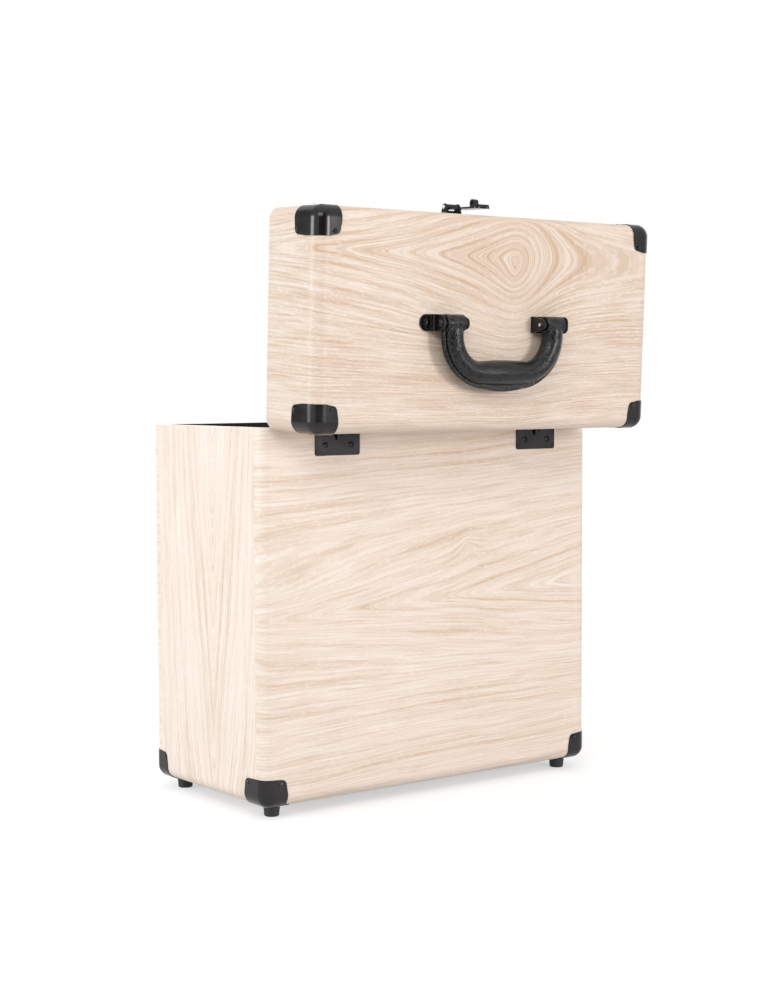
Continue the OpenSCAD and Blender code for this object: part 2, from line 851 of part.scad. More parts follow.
// Outer ear: a full-width strap with a rounded top and a foot turned outwards on the base plate
module handle_outer_ears() {
    color(black_c) on_lid_top() difference() {
        for (s = [-1, 1]) mirror([s < 0 ? 1 : 0, 0, 0]) {
            translate([outer_ear - ear_t, 0, 0]) rotate([90, 0, 90]) linear_extrude(height = ear_t) {
                translate([-ear_w / 2, ear_t]) square([ear_w, pivot_h + ear_r - strap_r - ear_t]);
                translate([-ear_w / 2 + strap_r, ear_t]) square([ear_w - 2 * strap_r, pivot_h + ear_r - ear_t]);
                for (k = [-1, 1]) translate([k * (ear_w / 2 - strap_r), pivot_h + ear_r - strap_r])
                    circle(strap_r);
            }
            translate([0, 0, ear_t]) linear_extrude(height = ear_t) {
                translate([outer_ear - ear_t, -ear_w / 2]) square([plate_out + ear_t - ear_w / 2 - 2, ear_w]);
                translate([outer_ear + plate_out - ear_w / 2 - 2, 0]) circle(ear_w / 2);
            }
            // fillet in the bend of the strap
            translate([outer_ear, ear_w / 2, 2 * ear_t]) rotate([90, 0, 0]) linear_extrude(height = ear_w)
                difference() {
                    translate([-e, -e]) square([strap_bend, strap_bend]);
                    translate([strap_bend, strap_bend]) circle(strap_bend);
                }
        }
        for (s = [-1, 1]) handle_pin_bore(s);
        rivet_holes_top();
    }
}

// Rivets of the handle, the outer ones through ear foot and plate
module handle_rivets() {
    color(steel_c) on_lid_top() for (x = handle_places) translate([x, 0, 0]) {
        s = abs(x) > leg_x ? 2 * ear_t : ear_t;
        domed_rivet(2.6, s, cav, 1);
        tail();
    }
}

module handle_pins() {
    color(steel_c) on_lid_top() for (s = [-1, 1])
        translate([s * inner_ear, 0, pivot_h]) rotate([0, 90 * s, 0]) {
            translate([0, 0, -0.3]) cylinder(r = handle_pin_r, h = ear_span + 0.6);
            for (k = [0, 1]) translate([0, 0, k * ear_span]) mirror([0, 0, 1 - k])
                translate([0, 0, 0.1]) intersection() {
                    translate([0, 0, 1.3 - 3.5]) sphere(3.5);
                    cylinder(r = handle_pin_r + 0.7, h = 3);
                }
        }
}

// Middle line of the grip: point and outward direction at distance t from the middle of the bar
function grip_line(t) =
    t < bend_x ? [[t, bar_y], [0, 1]]
    : t < bend_x + bend_l
        ? let (a = 90 * (1 - (t - bend_x) / bend_l))
            [[bend_x + bend_r * cos(a), bend_y + bend_r * sin(a)], [cos(a), sin(a)]]
    : [[leg_x, bend_y - (t - bend_x - bend_l)], [1, 0]];

// How far the flange stands out from the middle line: widest on the bar, fading over the bends
function flange_reach(t) = leg_r + flange_leg
    + (bar_r - leg_r + flange_bar - flange_leg) * (1 + cos(min(180, 180 * t / (bend_x + 20)))) / 2;

// Seam flange seen from above the lid, one smooth line outside and the middle line inside
module flange_outline() {
    half = [
        for (i = [0:flange_steps])
            let (t = grip_l * i / flange_steps, g = grip_line(t))
                [g[0] + flange_reach(t) * g[1], g[0]]
    ];
    for (s = [-1, 1]) polygon(concat(
        [for (i = [0:flange_steps]) [s * half[i][0][0], half[i][0][1]]],
        [for (i = [0:flange_steps]) [s * half[flange_steps - i][1][0], half[flange_steps - i][1][1]]]
    ));
}

// Grip: barrels round the pins, straight legs, bends, and the thicker bar with the seam flange
module handle_grip() {
    in0 = inner_ear + ear_t + barrel_gap;
    len = ear_span - 2 * ear_t - 2 * barrel_gap;
    taper = 16;
    color(black_c) on_lid_top() translate([0, 0, pivot_h]) difference() {
        union() {
            for (s = [-1, 1]) mirror([s < 0 ? 1 : 0, 0, 0]) {
                translate([in0, 0, 0]) rotate([0, 90, 0]) cylinder(r = ear_r - 0.5, h = len);
                translate([in0 + 1.5, 0, 0]) rotate([0, 90, 0]) cylinder(r = barrel_r, h = len - 3);
                translate([leg_x, 0, 0]) rotate([-90, 0, 0]) cylinder(r = leg_r, h = bend_y);
                translate([bend_x, bend_y, 0]) rotate_extrude(angle = 90) translate([bend_r, 0]) circle(leg_r);
                translate([bend_x, bar_y, 0]) rotate([0, -90, 0]) cylinder(r1 = leg_r, r2 = bar_r, h = taper);
            }
            translate([-bend_x + taper, bar_y, 0]) rotate([0, 90, 0])
                cylinder(r = bar_r, h = 2 * (bend_x - taper));
            translate([0, 0, -flange_t / 2]) linear_extrude(height = flange_t) flange_outline();
        }
        for (s = [-1, 1]) translate([s * (inner_ear - 5), 0, 0]) rotate([0, 90 * s, 0])
            cylinder(r = handle_pin_r + fit_c, h = ear_span + 10);
    }
}

// ---------------------------------------------------------------- latch

// Frame of the latch on the lid's front: x along X, y up from the rim of the base, z outwards
module on_lid_front() {
    opened() translate([0, -half_d, base_h]) rotate([90, 0, 0]) children();
}

// Same frame on the base, closed
module on_base_front() {
    translate([0, -half_d, base_h]) rotate([90, 0, 0]) children();
}

module latch_bracket() {
    r = 4;
    color(black_c) on_lid_front() difference() {
        union() {
            linear_extrude(height = latch_t) {
                translate([-pin_mid, rim_gap + 1]) square([2 * pin_mid, bracket_l - r]);
                translate([-pin_mid + r, rim_gap + 1]) square([2 * pin_mid - 2 * r, bracket_l]);
                for (s = [-1, 1]) translate([s * (pin_mid - r), rim_gap + 1 + bracket_l - r]) circle(r);
            }
            for (s = [-1, 1]) translate([s > 0 ? pin_mid - latch_t : -pin_mid, 0, 0])
                rotate([90, 0, 90]) linear_extrude(height = latch_t) {
                    translate([hasp_up, hasp_h]) circle(2.8);
                    polygon([[hasp_up - 5, 0], [hasp_up + 6, 0], [hasp_up + 2.6, hasp_h + 0.9],
                        [hasp_up - 2.6, hasp_h + 0.9]]);
                }
            // raised bridge between the ears, under the eye of the hasp
            rotate([90, 0, 90]) linear_extrude(height = 2 * pin_mid - latch_t, center = true)
                polygon([[hasp_up - 4.5, 0], [hasp_up + 5, 0], [hasp_up + 2.5, bridge_h],
                    [hasp_up - 2.5, bridge_h]]);
        }
        translate([-20, hasp_up, hasp_h]) rotate([0, 90, 0]) cylinder(r = hasp_pin_r + fit_c, h = 40);
        for (z = bracket_places) translate([0, z, -1]) {
            cylinder(r = shank_bore, h = 4);
            translate([0, 0, latch_t]) cylinder(r1 = shank_bore, r2 = shank_bore + 1, h = 1);
        }
    }
}

module latch_bracket_rivets() {
    color(steel_c) on_lid_front() for (z = bracket_places) translate([0, z, 0]) {
        domed_rivet(2.2, latch_t, cav, 0.8);
        tail();
    }
}

module hasp_pin() {
    color(steel_c) on_lid_front() translate([0, hasp_up, hasp_h]) rotate([0, 90, 0]) {
        cylinder(r = hasp_pin_r, h = 2 * pin_mid + 0.6, center = true);
        for (s = [0, 1]) mirror([0, 0, s]) translate([0, 0, pin_mid + 0.2]) cylinder(r = 1.7, h = 0.8);
    }
}

// Hasp folded back over the bracket: rolled eye, plate, staple and rolled finger lip
module hasp() {
    w = hasp_ears - 1;
    r = 3;
    back = -hasp_pin_r - latch_t;
    from = 7;
    color(black_c) on_lid_front() translate([0, hasp_up, hasp_h]) difference() {
        union() {
            rotate([0, 90, 0]) cylinder(r = hasp_pin_r + latch_t, h = w, center = true);
            translate([-w / 2, 0, back]) cube([w, from + 1, latch_t]);
            translate([0, 0, back]) linear_extrude(height = latch_t) {
                translate([-hasp_w / 2, from + r]) square([hasp_w, hasp_l - from - 2 * r]);
                translate([-hasp_w / 2 + r, from]) square([hasp_w - 2 * r, hasp_l - from - lip_r]);
                for (sx = [-1, 1], y = [from + r, hasp_l - r]) translate([sx * (hasp_w / 2 - r), y]) circle(r);
            }
            // rolled lip at the free end
            translate([0, hasp_l - lip_r, back + lip_r]) rotate([0, 90, 0])
                cylinder(r = lip_r, h = hasp_w - 2 * r + 2, center = true);
            // round-topped staple
            translate([-staple_w / 2, staple_l, back]) rotate([90, 0, 90]) linear_extrude(height = staple_w) {
                translate([-staple_d / 2, 0]) square([staple_d, latch_t + staple_h - staple_d / 2]);
                translate([0, latch_t + staple_h - staple_d / 2]) circle(staple_d / 2);
            }
        }
        rotate([0, 90, 0]) cylinder(r = hasp_pin_r + fit_c, h = 2 * w, center = true);
        translate([0, staple_l, back + latch_t + staple_h - staple_d / 2]) rotate([0, 90, 0])
            cylinder(r = staple_hole_r, h = 2 * staple_w, center = true);
    }
}

// Height above the rim of the base at which the staple stands when the hasp is closed
staple_y = hasp_up - staple_l;
// Height off the front face of the hole in the closed staple
hole_z = hasp_h + hasp_pin_r - staple_h + staple_d / 2;
// Middle of the button's window, below the rim of the base
button_y = -lock_down - lock_l + 10.8;
// Plate of the slide: left end, thickness and top face
slide_x = -lock_w / 2 + lock_wall + slide_gap + slide_travel;
slide_top = apron_t - lock_wall - slide_gap;
slide_t = slide_top - lock_plate_t - slide_gap;

// Outline of the lock case, inset by i, with corners of radius r, from the top down over l
module lock_outline(i, r, l = lock_l) {
    w = lock_w - 2 * i;
    translate([-w / 2, -lock_down - l + i + r]) square([w, l - 2 * i - 2 * r]);
    translate([-w / 2 + r, -lock_down - l + i]) square([w - 2 * r, l - 2 * i]);
    for (sx = [-1, 1], y = [-lock_down - i - r, -lock_down - l + i + r])
        translate([sx * (w / 2 - r), y]) circle(r);
}

// Pressed case of the lock: deep head over the bolt, shallow apron round the button
module lock_case() {
    r = 3;
    n = 0.6;
    color(black_c) on_base_front() difference() {
        union() {
            difference() {
                union() {
                    linear_extrude(height = apron_t - n) lock_outline(0, r);
                    linear_extrude(height = apron_t) lock_outline(n, r - n);
                    linear_extrude(height = lock_t - n) lock_outline(0, r, lock_head);
                    linear_extrude(height = lock_t) lock_outline(n, r - n, lock_head);
                }
                translate([0, 0, -1]) linear_extrude(height = 1 + apron_t - lock_wall)
                    lock_outline(lock_wall, r - lock_wall);
                translate([0, 0, -1]) linear_extrude(height = 1 + lock_t - lock_wall)
                    lock_outline(lock_wall, r - lock_wall, lock_head);
            }
            for (p = lock_places) translate([p[0], -p[1], lock_plate_t])
                cylinder(r = 2.6, h = p[2] - lock_plate_t - n);
        }
        // slot of the staple
        translate([-staple_w / 2 - slot_gap, staple_y - staple_d / 2 - slot_gap, lock_plate_t])
            cube([staple_w + 2 * slot_gap, staple_d + 2 * slot_gap, lock_t]);
        // window of the button
        translate([-button_w / 2 - slide_travel / 2 - slide_gap, button_y - button_l / 2 - slide_gap, apron_t / 2])
            cube([button_w + slide_travel + 2 * slide_gap, button_l + 2 * slide_gap, lock_t]);
        for (p = lock_places) translate([p[0], -p[1], -1]) cylinder(r = shank_bore, h = lock_t + 2);
    }
}

// Plate under the slide
module lock_plate() {
    color(black_c) on_base_front() difference() {
        linear_extrude(height = lock_plate_t) lock_outline(lock_wall + fit_c, 1.8 - fit_c);
        for (p = lock_places) translate([p[0], -p[1], -1]) cylinder(r = shank_bore, h = lock_t + 2);
    }
}

module lock_rivets() {
    color(steel_c) on_base_front() for (p = lock_places) translate([p[0], -p[1], 0]) {
        domed_rivet(2, p[2], cav, 0.7);
        tail();
    }
}

// Slide drawn latched: button and its plate, arm up into the head, bolt into the staple's slot
module lock_slide() {
    low = lock_plate_t + slide_gap;
    arm = 2.6;
    tip = -staple_w / 2 - slot_gap + slide_travel - 0.5;
    plate_l = button_l + 2.4;
    right = lock_w / 2 - lock_wall - 2 * slide_gap - slide_travel;
    color(black_c) on_base_front() {
        translate([slide_x, button_y - plate_l / 2, low]) cube([right - slide_x, plate_l, slide_t]);
        translate([slide_travel / 2 - button_w / 2, button_y - button_l / 2, low])
            cube([button_w, button_l, apron_t + button_up - low]);
        for (k = [-1:1]) translate([slide_travel / 2 + 2.4 * k, button_y, apron_t + button_up - 0.4])
            rotate([90, 0, 0]) cylinder(r = 0.7, h = button_l - 0.8, center = true);
        translate([slide_x, button_y, low]) cube([arm, staple_y - button_y + 1.3, slide_t]);
        translate([slide_x, staple_y - 1.3, low]) cube([arm, 2.6, hole_z - low + 0.9]);
        translate([slide_x + 1, staple_y, hole_z]) rotate([0, 90, 0])
            cylinder(r = bolt_r, h = tip - slide_x - 1);
    }
}

// ---------------------------------------------------------------- all pieces

base_bottom_board();
base_front_board();
base_rear_board();
base_left_board();
base_right_board();
base_front_cover();
base_rear_cover();
base_left_cover();
base_right_cover();
base_bottom_cover();
base_wall_lining();
base_floor_lining();
base_guard_rear_left();
base_guard_rear_right();
base_guard_front_left();
base_guard_front_right();
base_guard_rivets();
feet();
foot_screws();
hinge_base_leaves();
hinge_base_rivets();
hinge_lid_leaves();
hinge_lid_rivets();
hinge_pins();
lid_top_board();
lid_front_board();
lid_rear_board();
lid_left_board();
lid_right_board();
lid_cover();
lid_wall_lining();
lid_top_lining();
lid_guard_rear_left();
lid_guard_rear_right();
lid_guard_front_left();
lid_guard_front_right();
lid_guard_rivets();
handle_plates();
handle_outer_ears();
handle_rivets();
handle_pins();
handle_grip();
latch_bracket();
latch_bracket_rivets();
hasp_pin();
hasp();
lock_case();
lock_plate();
lock_rivets();
lock_slide();
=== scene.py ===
# %% [markdown]
# # A record carrying case with its lid open
#
# This lesson dresses a finished construction model: a tall base box for long-play records, a lid
# that is hinged at the rear, black pressed corner guards, round feet, a folding carrying handle and
# a hasp latch. The construction model brings every solid in its true place and size. What is added
# here is what the eye reads as real: the printed wood grain of the covering, the satin black of the
# hardware, the leather-grained grip, and a plain soft studio.
#
# The first cell loads the construction model and keeps its outer box.

# %% Load the case
import math
import bmesh
import bpy
from mathutils import Matrix, Vector


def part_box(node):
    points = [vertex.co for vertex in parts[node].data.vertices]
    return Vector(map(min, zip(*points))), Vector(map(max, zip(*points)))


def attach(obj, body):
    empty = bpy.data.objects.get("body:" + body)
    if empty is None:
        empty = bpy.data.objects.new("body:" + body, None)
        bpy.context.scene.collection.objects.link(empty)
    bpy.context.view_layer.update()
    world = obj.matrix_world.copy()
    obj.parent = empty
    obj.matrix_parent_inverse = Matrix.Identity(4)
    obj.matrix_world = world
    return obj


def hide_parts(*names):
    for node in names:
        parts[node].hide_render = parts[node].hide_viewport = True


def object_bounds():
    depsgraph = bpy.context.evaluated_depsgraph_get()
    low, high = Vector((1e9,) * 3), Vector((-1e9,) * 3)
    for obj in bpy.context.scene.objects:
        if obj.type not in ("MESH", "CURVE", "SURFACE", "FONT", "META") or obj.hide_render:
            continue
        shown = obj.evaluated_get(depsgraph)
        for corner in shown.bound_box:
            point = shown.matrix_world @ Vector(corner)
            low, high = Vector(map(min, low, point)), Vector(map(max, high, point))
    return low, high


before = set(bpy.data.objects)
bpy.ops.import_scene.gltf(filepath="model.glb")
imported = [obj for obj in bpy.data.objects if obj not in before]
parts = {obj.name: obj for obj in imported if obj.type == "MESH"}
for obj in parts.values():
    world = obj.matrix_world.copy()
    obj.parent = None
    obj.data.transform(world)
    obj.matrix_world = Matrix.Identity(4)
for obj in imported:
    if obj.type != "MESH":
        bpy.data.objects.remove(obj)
cad_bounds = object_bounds()
scene = bpy.context.scene
print("pieces:", len(parts), "box:", [[round(c, 4) for c in corner] for corner in cad_bounds])

# %% [markdown]
# ## The camera
#
# A camera for a product picture is set by its place, its heading and its lens. The heading is given
# here as a turn about the vertical, a small tilt down and a very small roll. Writing the view axes
# out as vectors keeps each angle readable, where a rotation typed in as three Euler numbers would
# hide them.

# %% Axes of the view
camera_place = Vector((0.9689, 1.3014, 0.3422))
heading, tilt, roll = (math.radians(a) for a in (37.016, 3.693, -0.191))

ahead = Vector((-math.sin(heading) * math.cos(tilt), -math.cos(heading) * math.cos(tilt), -math.sin(tilt)))
level = ahead.cross(Vector((0, 0, 1))).normalized()
upright = level.cross(ahead)
across = math.cos(roll) * level + math.sin(roll) * upright
up = across.cross(ahead)
print("looking along", [round(c, 3) for c in ahead])

# %% [markdown]
# The lens follows from the focal length counted in pixels of a picture that is 1000 pixels high. The
# three view axes are the columns of the camera's matrix: a Blender camera looks along its own minus Z.

# %% Set up the camera
focal_px, picture_px = 1835.2, 1000

camera_data = bpy.data.cameras.new("picture_camera")
camera_data.sensor_fit = "AUTO"
camera_data.sensor_width = 36
camera_data.lens = focal_px * camera_data.sensor_width / picture_px
camera_data.clip_end = 60
camera = bpy.data.objects.new("picture_camera", camera_data)
scene.collection.objects.link(camera)
camera.matrix_world = Matrix.Translation(camera_place) @ Matrix((across, up, -ahead)).transposed().to_4x4()
scene.camera = camera
print("lens:", round(camera_data.lens, 2), "mm")

# %% [markdown]
# ## Small helpers for shader graphs
#
# A procedural material is a graph of small nodes. Building it in code gets long, so two helpers do
# the repeated part: one adds a node and fills its inputs, whether with numbers or with links, and
# one writes a single step of arithmetic. A third adds a noise texture, the start of most patterns.

# %% Helpers for nodes
def add(tree, kind, inputs=None, **settings):
    node = tree.nodes.new(kind)
    for name, value in settings.items():
        setattr(node, name, value)
    for name, value in (inputs or {}).items():
        if isinstance(value, bpy.types.NodeSocket):
            tree.links.new(value, node.inputs[name])
        else:
            node.inputs[name].default_value = value
    return node


def sum_step(tree, operation, *values, clamp=False):
    inputs = {i: v for i, v in enumerate(values)}
    return add(tree, "ShaderNodeMath", inputs, operation=operation, use_clamp=clamp).outputs[0]


def noise(tree, vector, scale, detail=2.0, roughness=0.5):
    node = add(tree, "ShaderNodeTexNoise", {"Vector": vector, "Scale": scale, "Detail": detail,
                                            "Roughness": roughness})
    return node.outputs[0]


print("helpers: add, sum_step, noise")

# %% [markdown]
# Node groups hold the effects that several finishes share, so a change to the grain reaches every
# sheet at once. A group needs named sockets for what goes in and what comes out. One helper starts
# such a group, and one places it in a material with that material's own values.

# %% Helpers for groups
socket_kinds = {"f": "NodeSocketFloat", "c": "NodeSocketColor", "v": "NodeSocketVector"}


def new_group(name, inputs, outputs):
    group = bpy.data.node_groups.new(name, "ShaderNodeTree")
    for label, kind, default in inputs:
        socket = group.interface.new_socket(label, in_out="INPUT", socket_type=socket_kinds[kind])
        socket.default_value = default
    for label, kind in outputs:
        group.interface.new_socket(label, in_out="OUTPUT", socket_type=socket_kinds[kind])
    entry = group.nodes.new("NodeGroupInput")
    leave = group.nodes.new("NodeGroupOutput")
    return group, entry.outputs, leave.inputs


def use_group(tree, group, inputs):
    return add(tree, "ShaderNodeGroup", inputs, node_tree=group).outputs


print("kinds of socket:", ", ".join(socket_kinds.values()))

# %% [markdown]
# ## The figure of the wood
#
# The case is covered in printed sheets of pale ash. What makes sawn wood read as wood is its figure:
# the growth rings of a trunk, cut nearly along the trunk, show as long pointed arches that run into
# straight grain at the sides, with a whorl where a branch began. A noise texture that is merely
# stretched gives stripes and no arches.
#
# This group works out one number for each point, the distance to the heart of the trunk, in metres.
# Lines on which it is constant are the growth rings. Every sheet gives the group its own heart,
# slopes and whorl, so that no two sheets look alike.

# %% Start the figure group
figure, given, result = new_group(
    "ring_figure",
    [("Along", "f", 0), ("Across", "f", 0), ("Heart Along", "f", 0), ("Heart Across", "f", 0),
     ("Rise Ahead", "f", 0.2), ("Level Ahead", "f", 0.05), ("Rise Behind", "f", 0.5), ("Level Behind", "f", 0.02),
     ("Whorl Along", "f", 0), ("Whorl Across", "f", 0), ("Whorl Depth", "f", 0), ("Whorl Length", "f", 0.02),
     ("Whorl Width", "f", 0.03), ("Fade Across", "f", 0.05), ("Lean", "f", 0), ("Tilt", "f", 0), ("Seed", "f", 0)],
    [("Field", "f")])


def step(operation, *values, clamp=False):
    return sum_step(figure, operation, *values, clamp=clamp)


def rounded(value, softness):
    """Size of a value, with its sharp turn at nought rounded off."""
    return step("SQRT", step("ADD", step("MULTIPLY", value, value), step("MULTIPLY", softness, softness)))


def levelled(slope, limit):
    """A slope that flattens out as it nears its limit."""
    return step("DIVIDE", slope, rounded(step("DIVIDE", slope, limit), 1.0))


print("sockets of the figure:", len(given), "in,", len(result), "out")

# %% [markdown]
# A trunk is never straight, so the two coordinates wander before anything is built on them: slowly
# by some millimetres, and quickly by fractions of one. The quick part is what keeps the printed lines
# from looking ruled. The noise is squeezed along the grain, which stretches it that way.

# %% Wandering coordinates
def wander(scale, size, squeeze=0.35, detail=2):
    place = add(figure, "ShaderNodeCombineXYZ", {0: step("MULTIPLY", given["Along"], squeeze),
                                                 1: given["Across"], 2: given["Seed"]}).outputs[0]
    return step("MULTIPLY", step("SUBTRACT", noise(figure, place, scale, detail), 0.5), size)


along = step("ADD", step("SUBTRACT", given["Along"], given["Heart Along"]), wander(11, 0.030, 1.0, 1))
across = step("MULTIPLY_ADD", given["Tilt"], along, step("SUBTRACT", given["Across"], given["Heart Across"]))
across = step("ADD", across, wander(13, 0.009))
across = step("ADD", across, step("ADD", wander(45, 0.0022), wander(210, 0.0007, 0.22)))
away = step("ABSOLUTE", across)
print("nodes for the coordinates:", len(figure.nodes))

# %% [markdown]
# The number grows with the distance across the grain, at its own rate above and below the heart,
# which is the lean. Along the grain it rises away from the heart, and that bends the lines into
# arches. Each rise levels off with the distance, and fades across the grain, so that the lines run
# straight far from the heart. Where the two rises meet, the lines turn: sharply beside the heart and
# in a wider bow further out, and wider below the heart than above it.

# %% Arches
least_bow, bow_growth, bow_skew = 0.002, 0.30, -0.21
thinnest_heart = 0.003

bow = step("ADD", step("MULTIPLY", across, bow_skew), step("MULTIPLY_ADD", away, bow_growth, least_bow))
turned = rounded(along, bow)
rise_ahead = step("MULTIPLY", step("ADD", turned, along), step("MULTIPLY", given["Rise Ahead"], 0.5))
rise_behind = step("MULTIPLY", step("SUBTRACT", turned, along), step("MULTIPLY", given["Rise Behind"], 0.5))
ahead_part = levelled(rise_ahead, given["Level Ahead"])
behind_part = levelled(rise_behind, given["Level Behind"])
share = step("POWER", step("DIVIDE", away, given["Fade Across"]), 3.0)
arches = step("DIVIDE", ahead_part, step("ADD", share, 1.0))
width = step("MULTIPLY_ADD", across, given["Lean"], rounded(across, step("ADD", behind_part, thinnest_heart)))
print("nodes with the arches:", len(figure.nodes))

# %% [markdown]
# A whorl is a dip in the number, which closes the rings round its middle and makes those beside it
# swing wide. The dip falls off with the distance in an exponential curve: a curve with a flat bottom
# would leave a blank disc in the middle.

# %% Whorl
from_whorl = step("ADD", step("SUBTRACT", given["Along"], given["Whorl Along"]), wander(34, 0.006, 1.0))
over_whorl = step("ADD", step("SUBTRACT", given["Across"], given["Whorl Across"]), wander(30, 0.005, 1.0))
reach = rounded(step("DIVIDE", from_whorl, given["Whorl Length"]), step("DIVIDE", over_whorl, given["Whorl Width"]))
dip = step("EXPONENT", step("MULTIPLY", reach, -1.0))
field = step("SUBTRACT", step("ADD", width, arches), step("MULTIPLY", dip, given["Whorl Depth"]))
figure.links.new(field, result["Field"])
print("nodes of the whole figure:", len(figure.nodes))

# %% [markdown]
# ## The print on the sheets
#
# A second group turns the ring distance into colour. Five things are laid over each other, as in
# the real print: the rings, each with a soft tan rise and a sharper end; thin lines between them;
# streaks a few millimetres apart; wide faint clouds; and short pale flecks, which are the pores. All
# of them read the ring distance instead of the plain coordinate, so they flow round the whorl.
#
# Colours are named as they look on a screen, from 0 to 255, and turned into the linear values that a
# shader works with. A ramp turns a value into shades.

# %% Colours of the print
def linear(red, green, blue):
    return tuple(((c / 255 + 0.055) / 1.055) ** 2.4 if c > 10 else c / 3294.6 for c in (red, green, blue))


def ramp(tree, value, stops):
    node = tree.nodes.new("ShaderNodeValToRGB")
    tree.links.new(value, node.inputs[0])
    while len(node.color_ramp.elements) < len(stops):
        node.color_ramp.elements.new(0.5)
    for element, (place, colour) in zip(node.color_ramp.elements, stops):
        element.position = place
        element.color = (*colour, 1)
    return node.outputs[0]


def mix_colours(tree, share, first, second):
    node = add(tree, "ShaderNodeMix", {0: share, 6: first, 7: second}, data_type="RGBA")
    return node.outputs[2]


pale, tan, fleck = linear(240, 227, 216), linear(207, 176, 148), linear(250, 243, 236)
print("pale ground in linear values:", [round(c, 3) for c in pale])

# %% [markdown]
# Noise that reads the place along the grain coarsely and the ring distance finely comes out as
# streaks. The two numbers of `grain` say how many times it changes in a metre each way. A mask then
# keeps only the part of the noise between two levels.

# %% Start the print group
ash_print, given, result = new_group(
    "ash_print",
    [("Along", "f", 0), ("Across", "f", 0), ("Field", "f", 0), ("Ring", "f", 0.006), ("Strength", "f", 1),
     ("Painted Shade", "f", 1), ("Tone", "f", 0), ("Calm", "f", 0.5), ("Thin", "f", 0.2), ("Seed", "f", 0)],
    [("Color", "c"), ("Height", "f"), ("Roughness", "f")])


def printed_step(operation, *values, clamp=False):
    return sum_step(ash_print, operation, *values, clamp=clamp)


def grain(along, across, detail=2, roughness=0.5):
    x = printed_step("MULTIPLY", given["Along"], along)
    y = printed_step("MULTIPLY", given["Field"], across)
    place = add(ash_print, "ShaderNodeCombineXYZ", {0: x, 1: y, 2: given["Seed"]}).outputs[0]
    return noise(ash_print, place, 1, detail, roughness)


def mask(value, low, high):
    return ramp(ash_print, value, [(low, (0,) * 3), (high, (1,) * 3)])


print("sockets of the print:", len(given), "in,", len(result), "out")

# %% [markdown]
# The ring distance divided by the spacing counts the rings. Its fraction is the place within a ring
# and gives the profile; its whole part picks each ring's darkness by chance, as good and poor years
# do. A little noise in the count keeps the spacing uneven. The same helper makes the wide rings and
# the thin ones at a third of their spacing. Far from the heart the wide rings grow calmer.

# %% Rings of the print
wide_profile = [(0.0, 0.35), (0.10, 0.0), (0.50, 0.08), (0.86, 1.0), (1.0, 0.35)]
thin_profile = [(0.0, 0.2), (0.25, 0.0), (0.55, 0.1), (0.8, 1.0), (1.0, 0.2)]


def banded(spacing, unrest, stops):
    turn = printed_step("MULTIPLY_ADD", grain(6, 40), unrest, printed_step("DIVIDE", given["Field"], spacing))
    phase, count = printed_step("FRACT", turn), printed_step("FLOOR", turn)
    which = printed_step("ADD", count, given["Seed"])
    chance = add(ash_print, "ShaderNodeTexWhiteNoise", {"W": which}, noise_dimensions="1D").outputs[0]
    profile = ramp(ash_print, phase, [(place, (value,) * 3) for place, value in stops])
    return printed_step("MULTIPLY", profile, printed_step("MULTIPLY_ADD", chance, 0.8, 0.3))


rings = banded(given["Ring"], 1.3, wide_profile)
rings = printed_step("MULTIPLY", rings, mask(grain(8, 30), 0.28, 0.62))
calm = add(ash_print, "ShaderNodeMapRange", {"Value": given["Field"], "From Min": 0.035, "From Max": 0.075,
                                             "To Min": 1.0, "To Max": given["Calm"]}).outputs[0]
rings = printed_step("MULTIPLY", rings, calm)
thin = banded(printed_step("MULTIPLY", given["Ring"], 0.33), 2.4, thin_profile)
thin = printed_step("MULTIPLY", thin, mask(grain(12, 60), 0.36, 0.56))
print("nodes with the rings:", len(ash_print.nodes))

# %% [markdown]
# The layers are added into one tone, each with its own share, and the tone mixes the pale ground
# with the tan. Adding the shares first and mixing once keeps the print to two inks, as the real one
# is. The pale pores are mixed in last, over both.

# %% Tone and colour of the print
lines, threads = grain(10, 330), grain(24, 760)
clouds, pores = mask(grain(3, 30), 0.35, 0.68), mask(grain(170, 1000, 2, 0.6), 0.53, 0.66)
layers = [(rings, 0.55), (thin, given["Thin"]), (mask(lines, 0.40, 0.62), 0.13), (mask(threads, 0.43, 0.58), 0.23),
          (clouds, 0.12)]

tone = given["Tone"]
for layer, part in layers:
    tone = printed_step("MULTIPLY_ADD", layer, part, tone)
tone = printed_step("MULTIPLY", tone, given["Strength"], clamp=True)
ground = mix_colours(ash_print, tone, (*pale, 1), (*tan, 1))
mixed = mix_colours(ash_print, printed_step("MULTIPLY", pores, 0.28), ground, (*fleck, 1))
# The last scaling darkens the colour: painted shade, for a sheet that should look less lit than the rest.
painted_shade_colour = add(ash_print, "ShaderNodeVectorMath", {0: mixed, 3: given["Painted Shade"]}, operation="SCALE").outputs[0]
ash_print.links.new(painted_shade_colour, result["Color"])
print("layers of the print:", len(layers))

# %% [markdown]
# The streaks and pores also give the height for the faint embossing that the sheet shows under a low
# light, and the streaks make the satin a little uneven.

# %% Height and roughness of the print
height = printed_step("MULTIPLY_ADD", threads, 0.6, printed_step("MULTIPLY", pores, 0.4))
ash_print.links.new(height, result["Height"])
ash_print.links.new(printed_step("MULTIPLY_ADD", lines, 0.12, 0.36), result["Roughness"])
print("nodes of the whole print:", len(ash_print.nodes))

# %% [markdown]
# ## How each sheet lies
#
# The print has to lie on the case as the sheets do. On the base, the front and rear sheets have
# level grain that carries on round the upright edges onto the sides, and the side sheets have
# upright grain. So each covering gets its own pair of coordinates, along and across its grain,
# unrolled from the place on the piece. The right side's sheet hangs the other way up, so that its
# long arches run down from a heart above the rim.

# %% Coordinates of the base's sheets
half_width, half_depth = 0.175, 0.087


def object_place(tree):
    return tree.nodes.new("ShaderNodeTexCoord").outputs["Object"]


